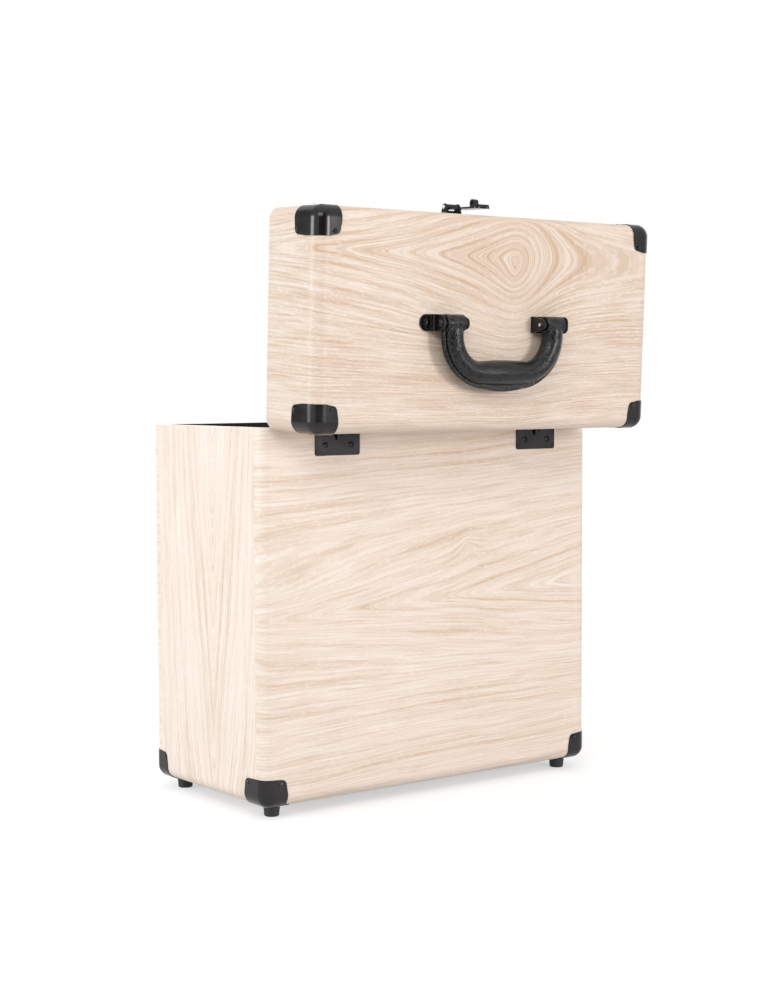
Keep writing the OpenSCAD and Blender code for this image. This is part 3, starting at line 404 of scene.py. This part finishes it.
def xyz(tree, where):
    return add(tree, "ShaderNodeSeparateXYZ", {0: where}).outputs


def level_sheet(tree):
    x, y, z = xyz(tree, object_place(tree))
    past_edge = sum_step(tree, "SUBTRACT", half_depth, sum_step(tree, "ABSOLUTE", y))
    return sum_step(tree, "MULTIPLY_ADD", sum_step(tree, "SIGN", x), past_edge, x), z


def upright_sheet(tree):
    x, y, z = xyz(tree, object_place(tree))
    return z, y


def hanging_sheet(tree):
    x, y, z = xyz(tree, object_place(tree))
    return sum_step(tree, "MULTIPLY", z, -1.0), y


def under_sheet(tree):
    x, y, z = xyz(tree, object_place(tree))
    return x, y


print("base sheets:", 2 * half_width, "m wide,", 2 * half_depth, "m deep")

# %% [markdown]
# The lid is one sheet folded down over the edges of its top. Its pieces are stored open, so their
# place is first turned back about the hinge pin to the closed lid. There the sheet is laid flat in
# thought: past the rounded edge, the depth below the top is added to the coordinate that runs on.

# %% Coordinates of the lid's sheet
lid_top, lid_edge = 0.373, 0.010
pin_line, lid_turn = Vector((0, 0.089, 0.3026)), math.radians(92.5)


def lid_sheet(tree):
    closed = add(tree, "ShaderNodeVectorRotate", {"Vector": object_place(tree), "Center": pin_line,
                                                  "Axis": (1, 0, 0), "Angle": lid_turn},
                 rotation_type="AXIS_ANGLE").outputs[0]
    x, y, z = xyz(tree, closed)
    below = sum_step(tree, "SUBTRACT", lid_top, z)
    folded = []
    for value, half in ((x, half_width), (y, half_depth)):
        edge = sum_step(tree, "SUBTRACT", sum_step(tree, "ABSOLUTE", value), half - lid_edge)
        share = sum_step(tree, "DIVIDE", edge, lid_edge, clamp=True)
        side = sum_step(tree, "MULTIPLY", sum_step(tree, "SIGN", value), share)
        folded.append(sum_step(tree, "MULTIPLY_ADD", side, below, value))
    return folded


print("lid turned back by", round(math.degrees(lid_turn), 1), "degrees about", [round(c, 4) for c in pin_line])

# %% [markdown]
# ## The covering
#
# The sheet is a thin plastic film with a satin face. Its material is a plain Principled shader that
# takes colour, roughness and height from the print. The bump is very shallow, because the embossing
# of such film is a few hundredths of a millimetre: deeper, it would look like brushed planks.

# %% Helpers for materials
def material(name):
    made = bpy.data.materials.new(name)
    made.use_nodes = True
    tree = made.node_tree
    return made, tree, tree.nodes["Principled BSDF"]


def bump(tree, shader, height, strength, distance):
    node = add(tree, "ShaderNodeBump", {"Height": height, "Strength": strength, "Distance": distance})
    tree.links.new(node.outputs[0], shader.inputs["Normal"])


def dress(made, *names):
    for name in names:
        slots = parts[name].data.materials
        slots.clear()
        slots.append(made)
    print(made.name, "on", len(names), "pieces")


# The shade argument scales the sheet's colour down: painted shade, for a sheet that should take less light.
def covering(name, sheet, ring, strength, seed, heart, ahead, behind, whorl=(0, 0, 0, 0.02, 0.03),
             fade=0.06, lean=0.0, tilt=0.0, shade=1.0, tone=0.0, calm=0.6, thin=0.34):
    made, tree, shader = material(name)
    along, over = sheet(tree)
    labels = ("Heart Along", "Heart Across", "Rise Ahead", "Level Ahead", "Rise Behind", "Level Behind",
              "Whorl Along", "Whorl Across", "Whorl Depth", "Whorl Length", "Whorl Width")
    place = {"Along": along, "Across": over, "Seed": seed}
    field = use_group(tree, figure, {**place, "Fade Across": fade, "Lean": lean, "Tilt": tilt,
                                     **dict(zip(labels, (*heart, *ahead, *behind, *whorl)))})
    printed = use_group(tree, ash_print, {**place, "Field": field["Field"], "Ring": ring, "Strength": strength,
                                          "Painted Shade": shade, "Tone": tone, "Calm": calm, "Thin": thin})
    tree.links.new(printed["Color"], shader.inputs["Base Color"])
    tree.links.new(printed["Roughness"], shader.inputs["Roughness"])
    bump(tree, shader, printed["Height"], 0.3, 0.0002)
    shader.inputs["Specular IOR Level"].default_value = 0.28
    return made


print("helpers: material, bump, dress, covering")

# %% [markdown]
# The rear sheet shows long arches that point to one side, with a small whorl over them. The side
# sheet has one tall, narrow arch. `heart` is the middle of the arches, along and across the grain;
# `ahead` and `behind` are how steeply the arches rise each way and where they level off; `whorl` is
# its place, depth, length and width. All are in metres of the unrolled sheet. The sheets that don't
# show from the rear are of the same stock, with hearts and seeds of their own.

# %% Cover the base
dress(covering("ash_rear", level_sheet, 0.0090, 1.0, 3.1, heart=(-0.19, 0.165), ahead=(0.15, 0.07),
               behind=(0.5, 0.02), whorl=(-0.037, 0.2015, 0.007, 0.012, 0.012), fade=0.055, lean=-0.15,
               tilt=0.04, calm=0.75), "base_rear_cover")
dress(covering("ash_front", level_sheet, 0.0090, 0.9, 8.4, heart=(-0.16, 0.19), ahead=(0.15, 0.07),
               behind=(0.5, 0.02), calm=0.7), "base_front_cover")
# The side sheets print at 0.8 strength, paler than the rear: painted highlight, standing in for the sheen that the
# side box lays on the lit side.
dress(covering("ash_right_side", hanging_sheet, 0.0080, 0.8, 5.7, heart=(-0.32, 0.012), ahead=(0.13, 0.10),
               behind=(0.8, 0.02), fade=0.05, calm=0.7, thin=0.42), "base_right_cover")
dress(covering("ash_left_side", upright_sheet, 0.0080, 0.8, 12.2, heart=(-0.02, -0.01), ahead=(0.13, 0.10),
               behind=(0.6, 0.02), fade=0.05, calm=0.7, thin=0.42), "base_left_cover")
dress(covering("ash_under", under_sheet, 0.0090, 0.8, 2.2, heart=(-0.3, 0.02), ahead=(0.13, 0.10),
               behind=(0.3, 0.02)), "base_bottom_cover")

# %% [markdown]
# The lid's sheet is the showpiece: a large whorl with rings swinging round it. Its rings are closer,
# its tone is a little deeper, and it stays calmer towards the edges. Its colour is also scaled down
# to 0.93: painted shade, for the lower light on the lid.

# %% Cover the lid
dress(covering("ash_lid", lid_sheet, 0.0066, 1.3, 6.9, heart=(-0.020, -0.055), ahead=(0.27, 0.05),
               behind=(0.90, 0.045), whorl=(-0.0218, -0.043, 0.020, 0.018, 0.024), fade=0.055, shade=0.93,
               tone=0.10, calm=0.4), "lid_cover")

# %% [markdown]
# ## Boards
#
# The boards are pressed fibre and show nowhere while the covering is on, but a piece that is taken
# out should still look like what it is. Fine noise in two browns stands for the fibres, and the same
# noise raises them a little.

# %% Make the boards
made, tree, shader = material("pressed_board")
fibres = noise(tree, object_place(tree), 900, 4, 0.7)
board_browns = [(0.3, linear(150, 118, 84)), (0.7, linear(196, 164, 124))]
tree.links.new(ramp(tree, fibres, board_browns), shader.inputs["Base Color"])
shader.inputs["Roughness"].default_value = 0.85
bump(tree, shader, fibres, 0.3, 0.0003)
dress(made, *[n for n in parts if n.endswith("_board")])

# %% [markdown]
# ## Lining
#
# The lining is a black flocked paper: matt, with a soft sheen at grazing angles and a fine uneven
# nap. Modelled fibres would be far too many, and a sheen lobe gives the same look without them. The
# fine nap and some wide patches are added, so the black is never flat.

# %% Make the lining
made, tree, shader = material("flocked_lining")
spot = object_place(tree)
nap = noise(tree, spot, 1400, 3, 0.7)
patches = noise(tree, spot, 22, 3)
shade = sum_step(tree, "MULTIPLY_ADD", patches, 0.35, sum_step(tree, "MULTIPLY", nap, 0.65))
nap_blacks = [(0.3, linear(17, 17, 18)), (0.75, linear(42, 42, 44))]
tree.links.new(ramp(tree, shade, nap_blacks), shader.inputs["Base Color"])
shader.inputs["Roughness"].default_value = 0.92
shader.inputs["Sheen Weight"].default_value = 0.35
shader.inputs["Sheen Roughness"].default_value = 0.5
bump(tree, shader, nap, 0.5, 0.0004)
dress(made, *[n for n in parts if n.endswith("_lining")])

# %% [markdown]
# ## Handling marks
#
# Black hardware is never one even black. Paint has a faint orange-peel, and hands leave a slightly
# duller film in patches. One small group gives both, for the painted steel, the lock and the
# moulded pieces: a patchy value for the roughness and a fine height for the surface.

# %% Node group for handled surfaces
handled, given, result = new_group(
    "handled_surface",
    [("Vector", "v", (0, 0, 0)), ("Peel Scale", "f", 1500), ("Patch Scale", "f", 60), ("Low", "f", 0.25),
     ("High", "f", 0.4)],
    [("Roughness", "f"), ("Height", "f"), ("Dust", "f")])
peel = noise(handled, given["Vector"], given["Peel Scale"], 1.5)
patch = noise(handled, given["Vector"], given["Patch Scale"], 3.0)
spread = add(handled, "ShaderNodeMapRange", {"Value": patch, "From Min": 0.35, "From Max": 0.65,
                                             "To Min": given["Low"], "To Max": given["High"]})
handled.links.new(spread.outputs[0], result["Roughness"])
handled.links.new(peel, result["Height"])
handled.links.new(patch, result["Dust"])
print("nodes for handling marks:", len(handled.nodes))

# %% [markdown]
# The hardware finishes differ only in numbers: two shades, two roughnesses, the fineness of the peel
# and its depth in metres. So one function makes them all, and returns the graph for finishes that
# need something more.

# %% Finish of a handled piece
def handled_finish(name, dark, bright, low, high, peel_scale, depth, patch_scale=60, metallic=0.0):
    made, tree, shader = material(name)
    marks = use_group(tree, handled, {"Vector": object_place(tree), "Peel Scale": peel_scale,
                                      "Patch Scale": patch_scale, "Low": low, "High": high})
    tree.links.new(ramp(tree, marks["Dust"], [(0.35, dark), (0.7, bright)]), shader.inputs["Base Color"])
    tree.links.new(marks["Roughness"], shader.inputs["Roughness"])
    bump(tree, shader, marks["Height"], 0.2, depth)
    shader.inputs["Metallic"].default_value = metallic
    return made, tree, shader


print("finish: handled_finish")

# %% [markdown]
# ## Black hardware
#
# The guards, hinges, handle fittings and latch are steel with a satin black lacquer. Under broad
# lamps a plain black gloss greys over, because it mirrors the white room as well as the lamps. A
# nearly metallic shader with a dark base mirrors as strongly straight on as at the edges, but tints
# what it mirrors dark. So only the bright lamps come through, as long soft bands down the corners.

# %% Lacquer the hardware
made, tree, shader = handled_finish("black_lacquer", linear(48, 46, 47), linear(56, 54, 55), 0.18, 0.26, 1500, 0.00003,
                                    metallic=0.8)
shader.inputs["Specular IOR Level"].default_value = 0.5
dress(made, *[n for n in parts if "_guard_" in n and not n.endswith("rivets")],
      "hinge_base_leaves", "hinge_lid_leaves", "handle_plates", "handle_outer_ears",
      "latch_bracket", "hasp", "lock_case", "lock_plate", "lock_slide")

# %% [markdown]
# ## Rivets and bare steel
#
# The rivets are plated in black nickel, smoother than the lacquer, so their small domes catch a
# bright point of light. The pins of the hinges and the hasp and the screws of the feet are bare.

# %% Plate the rivets and polish the pins
made, tree, shader = handled_finish("black_nickel", linear(46, 45, 46), linear(66, 65, 66), 0.10, 0.16, 2600, 0.00002,
                                    metallic=1.0)
dress(made, "base_guard_rivets", "lid_guard_rivets", "hinge_base_rivets", "hinge_lid_rivets", "handle_rivets",
      "latch_bracket_rivets", "lock_rivets")

made, tree, shader = handled_finish("bright_steel", linear(196, 196, 200), linear(226, 226, 228), 0.18, 0.3, 3000,
                                    0.00002, metallic=1.0)
dress(made, "hinge_pins", "hasp_pin", "foot_screws")

# %% [markdown]
# ## Pins of the handle
#
# The handle's pins are blackened, and bare where their inner ends were turned: each shows a bright
# dot with a black rim. A second piece for the dot would be hard to keep flush, so the finish itself
# changes. The distance from the pin's own line gives a round mask, and the place along the line
# keeps it to the inner ends.

# %% Mask for the bare ends
dot_inner, dot_outer, inner_ends = 0.0010, 0.0014, 0.0525

made, tree, shader = handled_finish("pin_ends", linear(8, 8, 9), linear(18, 18, 19), 0.14, 0.22, 2600, 0.00002)
low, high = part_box("handle_pins")
pin_middle = (0, (low[1] + high[1]) / 2, (low[2] + high[2]) / 2)
where = add(tree, "ShaderNodeVectorMath", {0: object_place(tree), 1: pin_middle}, operation="SUBTRACT").outputs[0]
over = add(tree, "ShaderNodeVectorMath", {0: where, 1: (0, 1, 1)}, operation="MULTIPLY").outputs[0]
off_line = add(tree, "ShaderNodeVectorMath", {0: over}, operation="LENGTH").outputs["Value"]
round_dot = add(tree, "ShaderNodeMapRange", {"Value": off_line, "From Min": dot_inner, "From Max": dot_outer,
                                             "To Min": 1.0, "To Max": 0.0}).outputs[0]
from_middle = sum_step(tree, "ABSOLUTE", xyz(tree, where)[0])
bare = sum_step(tree, "MULTIPLY", round_dot, sum_step(tree, "LESS_THAN", from_middle, inner_ends))
print("line of the pins at", [round(c, 4) for c in pin_middle])

# %% [markdown]
# The mask then does three things at once: it makes the dot metallic, rougher and bright. The colour
# and roughness of the black are taken from what the shader already has, and mixed with those of the
# bare steel.

# %% Turn the pin ends
smooth = shader.inputs["Roughness"].links[0].from_socket
black = shader.inputs["Base Color"].links[0].from_socket
tree.links.new(bare, shader.inputs["Metallic"])
tree.links.new(sum_step(tree, "MULTIPLY_ADD", bare, 0.35, smooth), shader.inputs["Roughness"])
tree.links.new(mix_colours(tree, bare, black, (*linear(240, 240, 242), 1)), shader.inputs["Base Color"])
dress(made, "handle_pins")

# %% [markdown]
# ## Feet
#
# The feet are black rubber: matt, with a coarser skin than paint.

# %% Make the feet
made, tree, shader = handled_finish("black_rubber", linear(30, 30, 31), linear(46, 45, 46), 0.5, 0.68, 900, 0.0001)
dress(made, "feet")

# %% [markdown]
# ## The form of the grip
#
# The real grip is one hollow plastic moulding: a bar that is thickest in the middle, two legs that
# bend up to the pins, and a flat seam flange along the outside of the whole bow, set off by a
# groove. The construction model holds it as plain tubes and a flat flange. Here it is swept as one
# skin instead: the same section, of changing size, is placed ring by ring along the middle line.
# A curve with a bevel object could sweep a section too, but it can't let the flange and the body
# change at different rates, and a list of rings can.
#
# The middle line lies flat: half a bar, a quarter turn, and a leg, the same to both sides.

# %% Middle line of the grip
mm = 0.001
pivot_height, bar_distance, bend_radius, leg_x = 12 * mm, 39 * mm, 30 * mm, 52.5 * mm
bend_x, bend_y = leg_x - bend_radius, bar_distance - bend_radius
bend_length = bend_radius * math.pi / 2
half_line = bend_x + bend_length + bend_y - 0.5 * mm


def grip_line(t):
    """Point and outward direction at distance t from the middle of the bar."""
    side, t = (1 if t >= 0 else -1), abs(t)
    if t < bend_x:
        x, y, outward = t, bar_distance, (0, 1)
    elif t < bend_x + bend_length:
        a = math.pi / 2 * (1 - (t - bend_x) / bend_length)
        outward = (math.cos(a), math.sin(a))
        x, y = bend_x + bend_radius * outward[0], bend_y + bend_radius * outward[1]
    else:
        x, y, outward = leg_x, bend_y - (t - bend_x - bend_length), (1, 0)
    return Vector((side * x, y, 0)), Vector((side * outward[0], outward[1], 0))


print("line of the grip:", round(2 * half_line, 4), "m")

# %% [markdown]
# Two sizes change along the line: the radius of the body, and how far the flange reaches. Both swell
# towards the middle of the bar on a cosine, which starts and ends without a kink. At the ends of the
# legs the body rounds off like a thimble, and the flange runs out into it.

# %% Sizes along the grip
leg_radius, bar_radius, leg_flange, bar_flange = 9 * mm, 10.3 * mm, 2 * mm, 5 * mm
swell_run, tip_run, tip_share, tip_slope = bend_x + 20 * mm, 7 * mm, 0.72, 1.2
least_flange = 0.2 * mm


def grip_sizes(t):
    """Radius of the body and reach of the flange at distance t."""
    swell = (1 + math.cos(math.pi * min(1, abs(t) / swell_run))) / 2
    body = leg_radius - 0.3 * mm + (bar_radius - leg_radius + 0.2 * mm) * swell
    left = half_line - abs(t)
    if left < tip_run:
        body *= tip_share + (1 - tip_share) * math.sqrt(max(0, 1 - (1 - left / tip_run) ** 2))
    reach = leg_radius + leg_flange + (bar_radius - leg_radius + bar_flange - leg_flange) * swell - 0.1 * mm
    return body, max(body + least_flange, min(reach, body + least_flange + tip_slope * left))


print("body and flange at the middle:", [round(size, 4) for size in grip_sizes(0)])

# %% [markdown]
# A section is a loop of points: the round body from one side of the flange round to the other, then
# the groove and the flange with softened edges. The flange's second side mirrors the first, so only
# one is written out.

# %% Section of the grip
lip, groove, body_points = 1.9 * mm, 0.8 * mm, 41
groove_turn, body_turn = 0.09, 0.16


def grip_section(body, reach):
    """Section as (outward, over) pairs."""
    start = math.asin(lip / body)
    first, whole = start + body_turn, 2 * math.pi - 2 * start - 2 * body_turn
    angles = [first + whole * k / (body_points - 1) for k in range(body_points)]
    loop = [(body * math.cos(a), body * math.sin(a)) for a in angles]
    sink = body - groove
    flange = [(sink * math.cos(start + groove_turn), -sink * math.sin(start + groove_turn)),
              (sink * math.cos(start), -lip + 0.2 * mm), (body * math.cos(start) + 0.2 * mm, -lip),
              (reach - 0.7 * mm, -lip), (reach - 0.2 * mm, -lip + 0.5 * mm), (reach, -0.5 * mm)]
    return loop + flange + [(o, -w) for o, w in reversed(flange)]


print("points of a section:", len(grip_section(*grip_sizes(0))))

# %% [markdown]
# Each ring of points is joined to the next by quads. The helper takes any list of rings with equal
# counts and closes both ends, so it serves for the swept body and for the turned barrels.
#
# The legs end in barrels that turn on the pins. A barrel is a turned form, so it is made by spinning
# a short profile about the pin: a narrow neck at each ear, a chamfer, and the full body between. Its
# profile gives the place along the pin and the radius, in millimetres.

# %% Build the grip's skin
ring_count, spin_count, barrel_start = 121, 48, 41.5
barrel = [(0, 4.4), (1.3, 4.5), (1.5, 6.3), (2.1, 6.9), (3.0, 7.0), (19.0, 7.0), (19.9, 6.9), (20.5, 6.3), (20.7, 4.5),
          (22, 4.4)]
shape = bmesh.new()


def skin(rings):
    for first, second in zip(rings, rings[1:]):
        for k in range(len(first)):
            n = (k + 1) % len(first)
            shape.faces.new((first[k], first[n], second[n], second[k]))
    shape.faces.new(rings[0][::-1])
    shape.faces.new(rings[-1])


swept = []
for k in range(ring_count):
    t = -half_line + 2 * half_line * k / (ring_count - 1)
    centre, outward = grip_line(t)
    section = grip_section(*grip_sizes(t))
    swept.append([shape.verts.new(centre + outward * o + Vector((0, 0, w))) for o, w in section])
skin(swept)

for side in (-1, 1):
    skin([[shape.verts.new((side * (barrel_start + place) * mm, radius * mm * math.cos(a), radius * mm * math.sin(a)))
           for a in (math.tau * k / spin_count for k in range(spin_count))] for place, radius in barrel])
bmesh.ops.recalc_face_normals(shape, faces=shape.faces)
print("faces of the grip:", len(shape.faces))

# %% [markdown]
# The skin was built at the closed lid's pivot. It is lifted there and turned with the lid into its
# open place. Then the piece takes over from the plain solid: it replaces that node in the picture,
# rides the handle's body when the joint moves, and keeps the solid's material slot.

# %% Place the grip
to_open = (Matrix.Translation(pin_line) @ Matrix.Rotation(-lid_turn, 4, "X") @ Matrix.Translation(-pin_line)
           @ Matrix.Translation((0, 0, lid_top + pivot_height)))
shape.transform(to_open)
mesh = bpy.data.meshes.new("grip_moulding")
shape.to_mesh(mesh)
shape.free()
mesh.shade_smooth()
mesh.set_sharp_from_angle(angle=math.radians(38))
grip = bpy.data.objects.new("grip_moulding", mesh)
scene.collection.objects.link(grip)
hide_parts("handle_grip")
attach(grip, "handle")
low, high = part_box("handle_grip")
print("grip", [round(c, 4) for c in low], [round(c, 4) for c in high], "points:", len(mesh.vertices))

# %% [markdown]
# ## The grain of the grip
#
# The moulding has a pressed leather grain. Leather grain is a field of rounded pebbles with creases
# between them. A Voronoi texture gives the distance to the nearest cell point, and one less its
# square is a small dome. A little noise moves the points, so that they don't look like a honeycomb.
# Each dome catches the lamp once, which breaks the highlight into sparks. The colour is also painted
# darker in the creases than on the domes: painted shade between the pebbles.

# %% Make the grip's finish
pebbles_per_metre, shift = 620.0, (0.0024, 0.0024, 0.0024)

made, tree, shader = material("grained_grip")
spot = object_place(tree)
bend = add(tree, "ShaderNodeTexNoise", {"Vector": spot, "Scale": 260.0, "Detail": 2.0}).outputs["Color"]
shifted = add(tree, "ShaderNodeVectorMath", {0: bend, 1: shift, 2: spot}, operation="MULTIPLY_ADD").outputs[0]
cells = add(tree, "ShaderNodeTexVoronoi", {"Vector": shifted, "Scale": pebbles_per_metre}, feature="F1")
from_point = cells.outputs["Distance"]
pebbles = sum_step(tree, "SUBTRACT", 1.0, sum_step(tree, "MULTIPLY", from_point, from_point), clamp=True)
marks = use_group(tree, handled, {"Vector": spot, "Peel Scale": 2200, "Patch Scale": 90, "Low": 0.16, "High": 0.24})
# Darker in the creases than on the domes: painted shade where the creases would fall in shadow.
painted_crease_shade = [(0.3, linear(14, 14, 14)), (0.9, linear(54, 53, 53))]
tree.links.new(ramp(tree, pebbles, painted_crease_shade), shader.inputs["Base Color"])
tree.links.new(marks["Roughness"], shader.inputs["Roughness"])
bump(tree, shader, sum_step(tree, "MULTIPLY_ADD", marks["Height"], 0.15, pebbles), 0.9, 0.0003)
shader.inputs["Specular IOR Level"].default_value = 0.5
shader.inputs["Metallic"].default_value = 0.7
grip.data.materials.append(made)
dress(made, "handle_grip")

# %% [markdown]
# ## The studio
#
# The picture has a plain white surround with only a soft shadow at the foot. What a ray is for tells
# where that white may come from: only rays that the camera sends, straight or by way of a mirror or
# glass, see the white. The rays that light the case see a dimmer room.

# %% Rays that see the white
def seen_directly(tree):
    path = tree.nodes.new("ShaderNodeLightPath")
    mirrored = sum_step(tree, "MAXIMUM", path.outputs["Is Glossy Ray"], path.outputs["Is Transmission Ray"])
    return sum_step(tree, "MAXIMUM", path.outputs["Is Camera Ray"], mirrored)


print("helper: seen_directly")

# %% [markdown]
# The floor is a real surface that takes the shadow, but its own light is mixed in for the rays that
# see it, so that it comes out white without more light on the case. Away from the case it fades
# wholly to that even white, which hides the horizon.

# %% Floor
floor_level, white = cad_bounds[0][2], (1, 1, 1, 1)
fade_start, fade_end, floor_glow = 0.32, 0.80, 0.49

bpy.ops.mesh.primitive_plane_add(size=12, location=(0, 0, floor_level))
floor = bpy.context.object
floor.name = "studio_floor"
made, tree, shader = material("studio_floor")
spot = object_place(tree)
distance = add(tree, "ShaderNodeVectorMath", {0: spot}, operation="LENGTH").outputs["Value"]
far = add(tree, "ShaderNodeMapRange", {"Value": distance, "From Min": fade_start, "From Max": fade_end},
          interpolation_type="SMOOTHSTEP").outputs[0]
paper = ramp(tree, noise(tree, spot, 400, 2), [(0.3, (0.60, 0.60, 0.60)), (0.7, (0.62, 0.62, 0.62))])
tree.links.new(paper, shader.inputs["Base Color"])
shader.inputs["Roughness"].default_value = 0.9
shader.inputs["Specular IOR Level"].default_value = 0.1
glow = add(tree, "ShaderNodeEmission", {"Color": white, "Strength": floor_glow})
both = add(tree, "ShaderNodeAddShader", {0: shader.outputs[0], 1: glow.outputs[0]})
plain = add(tree, "ShaderNodeEmission", {"Color": white, "Strength": 1.0})
shown = add(tree, "ShaderNodeMixShader", {0: far, 1: both.outputs[0], 2: plain.outputs[0]})
last = add(tree, "ShaderNodeMixShader", {0: seen_directly(tree), 1: shader.outputs[0], 2: shown.outputs[0]})
tree.links.new(last.outputs[0], tree.nodes["Material Output"].inputs["Surface"])
floor.data.materials.append(made)
print("floor at", round(floor_level, 4))

# %% [markdown]
# The world does the same with the air round the case: white where it is seen, and half as bright
# where it lights.

# %% Surround
room_light = 0.53

world = bpy.data.worlds.new("studio_air")
scene.world = world
world.use_nodes = True
tree = world.node_tree
strength = add(tree, "ShaderNodeMix", {0: seen_directly(tree), 2: room_light, 3: 1.0}, data_type="FLOAT").outputs[0]
tree.nodes["Background"].inputs["Color"].default_value = white
tree.links.new(strength, tree.nodes["Background"].inputs["Strength"])
scene.view_settings.view_transform = "Standard"
print("room light:", room_light)

# %% [markdown]
# ## The lamps
#
# The bands of light on the rounded corners tell where the lamps stand. A rounded corner mirrors a
# lamp at the place where its surface faces halfway between lamp and camera. One band lies near the
# short side, so a soft box stands beside the case and a little to its front, where it lights only
# the short side. The other lies near the long side, so the second box stands behind the case, which
# also throws the handle's shadow to the left.
#
# Three weaker boxes fill: one high over the camera, which carries light onto the rounded corners
# between the bands, one overhead, and one for the front of the case, which this camera doesn't see
# but other views do. The box beside the case is a little cooler than the rest.

# %% Helpers for lamps
def soft_box(name, place, aim, wide, high, watts):
    data = bpy.data.lights.new(name, "AREA")
    data.shape = "RECTANGLE"
    data.size, data.size_y, data.energy = wide, high, watts
    lamp = bpy.data.objects.new(name, data)
    scene.collection.objects.link(lamp)
    turn = (Vector(aim) - Vector(place)).to_track_quat("-Z", "Y")
    lamp.matrix_world = Matrix.Translation(place) @ turn.to_matrix().to_4x4()
    print(name, "at", [round(c, 2) for c in place], watts, "W")
    return lamp


def round_case(turn, far, height):
    """Place at a turn in degrees about the case, a distance and a height in metres."""
    return (far * math.cos(math.radians(turn)), far * math.sin(math.radians(turn)), height)


print("the camera stands at a turn of", round(math.degrees(math.atan2(camera_place.y, camera_place.x))), "degrees")

# %% Lamps
middle, low_middle = (0.0, 0.05, 0.30), (0.0, 0.05, 0.1)

side_box = soft_box("side_box", round_case(-22, 1.75, 0.55), middle, 0.85, 0.50, 14)
side_box.data.color = (0.89, 0.955, 1.0)
soft_box("ahead_box", round_case(106, 2.1, 0.55), middle, 0.60, 0.52, 15.5)
soft_box("fill_box", round_case(44, 1.9, 1.3), low_middle, 1.2, 0.8, 15)
soft_box("top_box", (0.1, 0.2, 2.0), middle, 1.6, 1.6, 5)
soft_box("front_box", round_case(-118, 2.0, 0.9), middle, 1.2, 0.8, 8)

# %% [markdown]
# ## Reflection cards
#
# Cards shape what the black hardware reflects, as in a real studio: a black one behind the camera
# keeps the hardware dark between its two bands, and a grey one tones down the white beyond the side
# lamp. They are hidden from every kind of ray but reflections, so they take no light from the case
# and never show in a picture.

# %% Cards
def card(name, turn, far, wide, high, shade):
    bpy.ops.mesh.primitive_plane_add(size=1)
    made_card = bpy.context.object
    made_card.name = name
    made_card.scale = (wide, high, 1)
    made_card.location = round_case(turn, far, high / 2 - 0.2)
    made_card.rotation_euler = (math.radians(90), 0, math.radians(turn + 90))
    for kind in ("camera", "diffuse", "transmission", "volume_scatter", "shadow"):
        setattr(made_card, "visible_" + kind, False)
    made, tree, shader = material(name)
    weave = noise(tree, object_place(tree), 300, 2)
    shades = [(0.3, (shade * 0.9,) * 3), (0.7, (shade * 1.1,) * 3)]
    tree.links.new(ramp(tree, weave, shades), shader.inputs["Base Color"])
    shader.inputs["Roughness"].default_value = 1.0
    shader.inputs["Specular IOR Level"].default_value = 0.0
    made_card.data.materials.append(made)
    print(name, "of", wide, "by", high, "m at a turn of", turn, "degrees")


card("black_card", 58, 2.3, 2.3, 2.4, 0.006)
card("grey_card", -60, 2.3, 1.3, 2.4, 0.45)
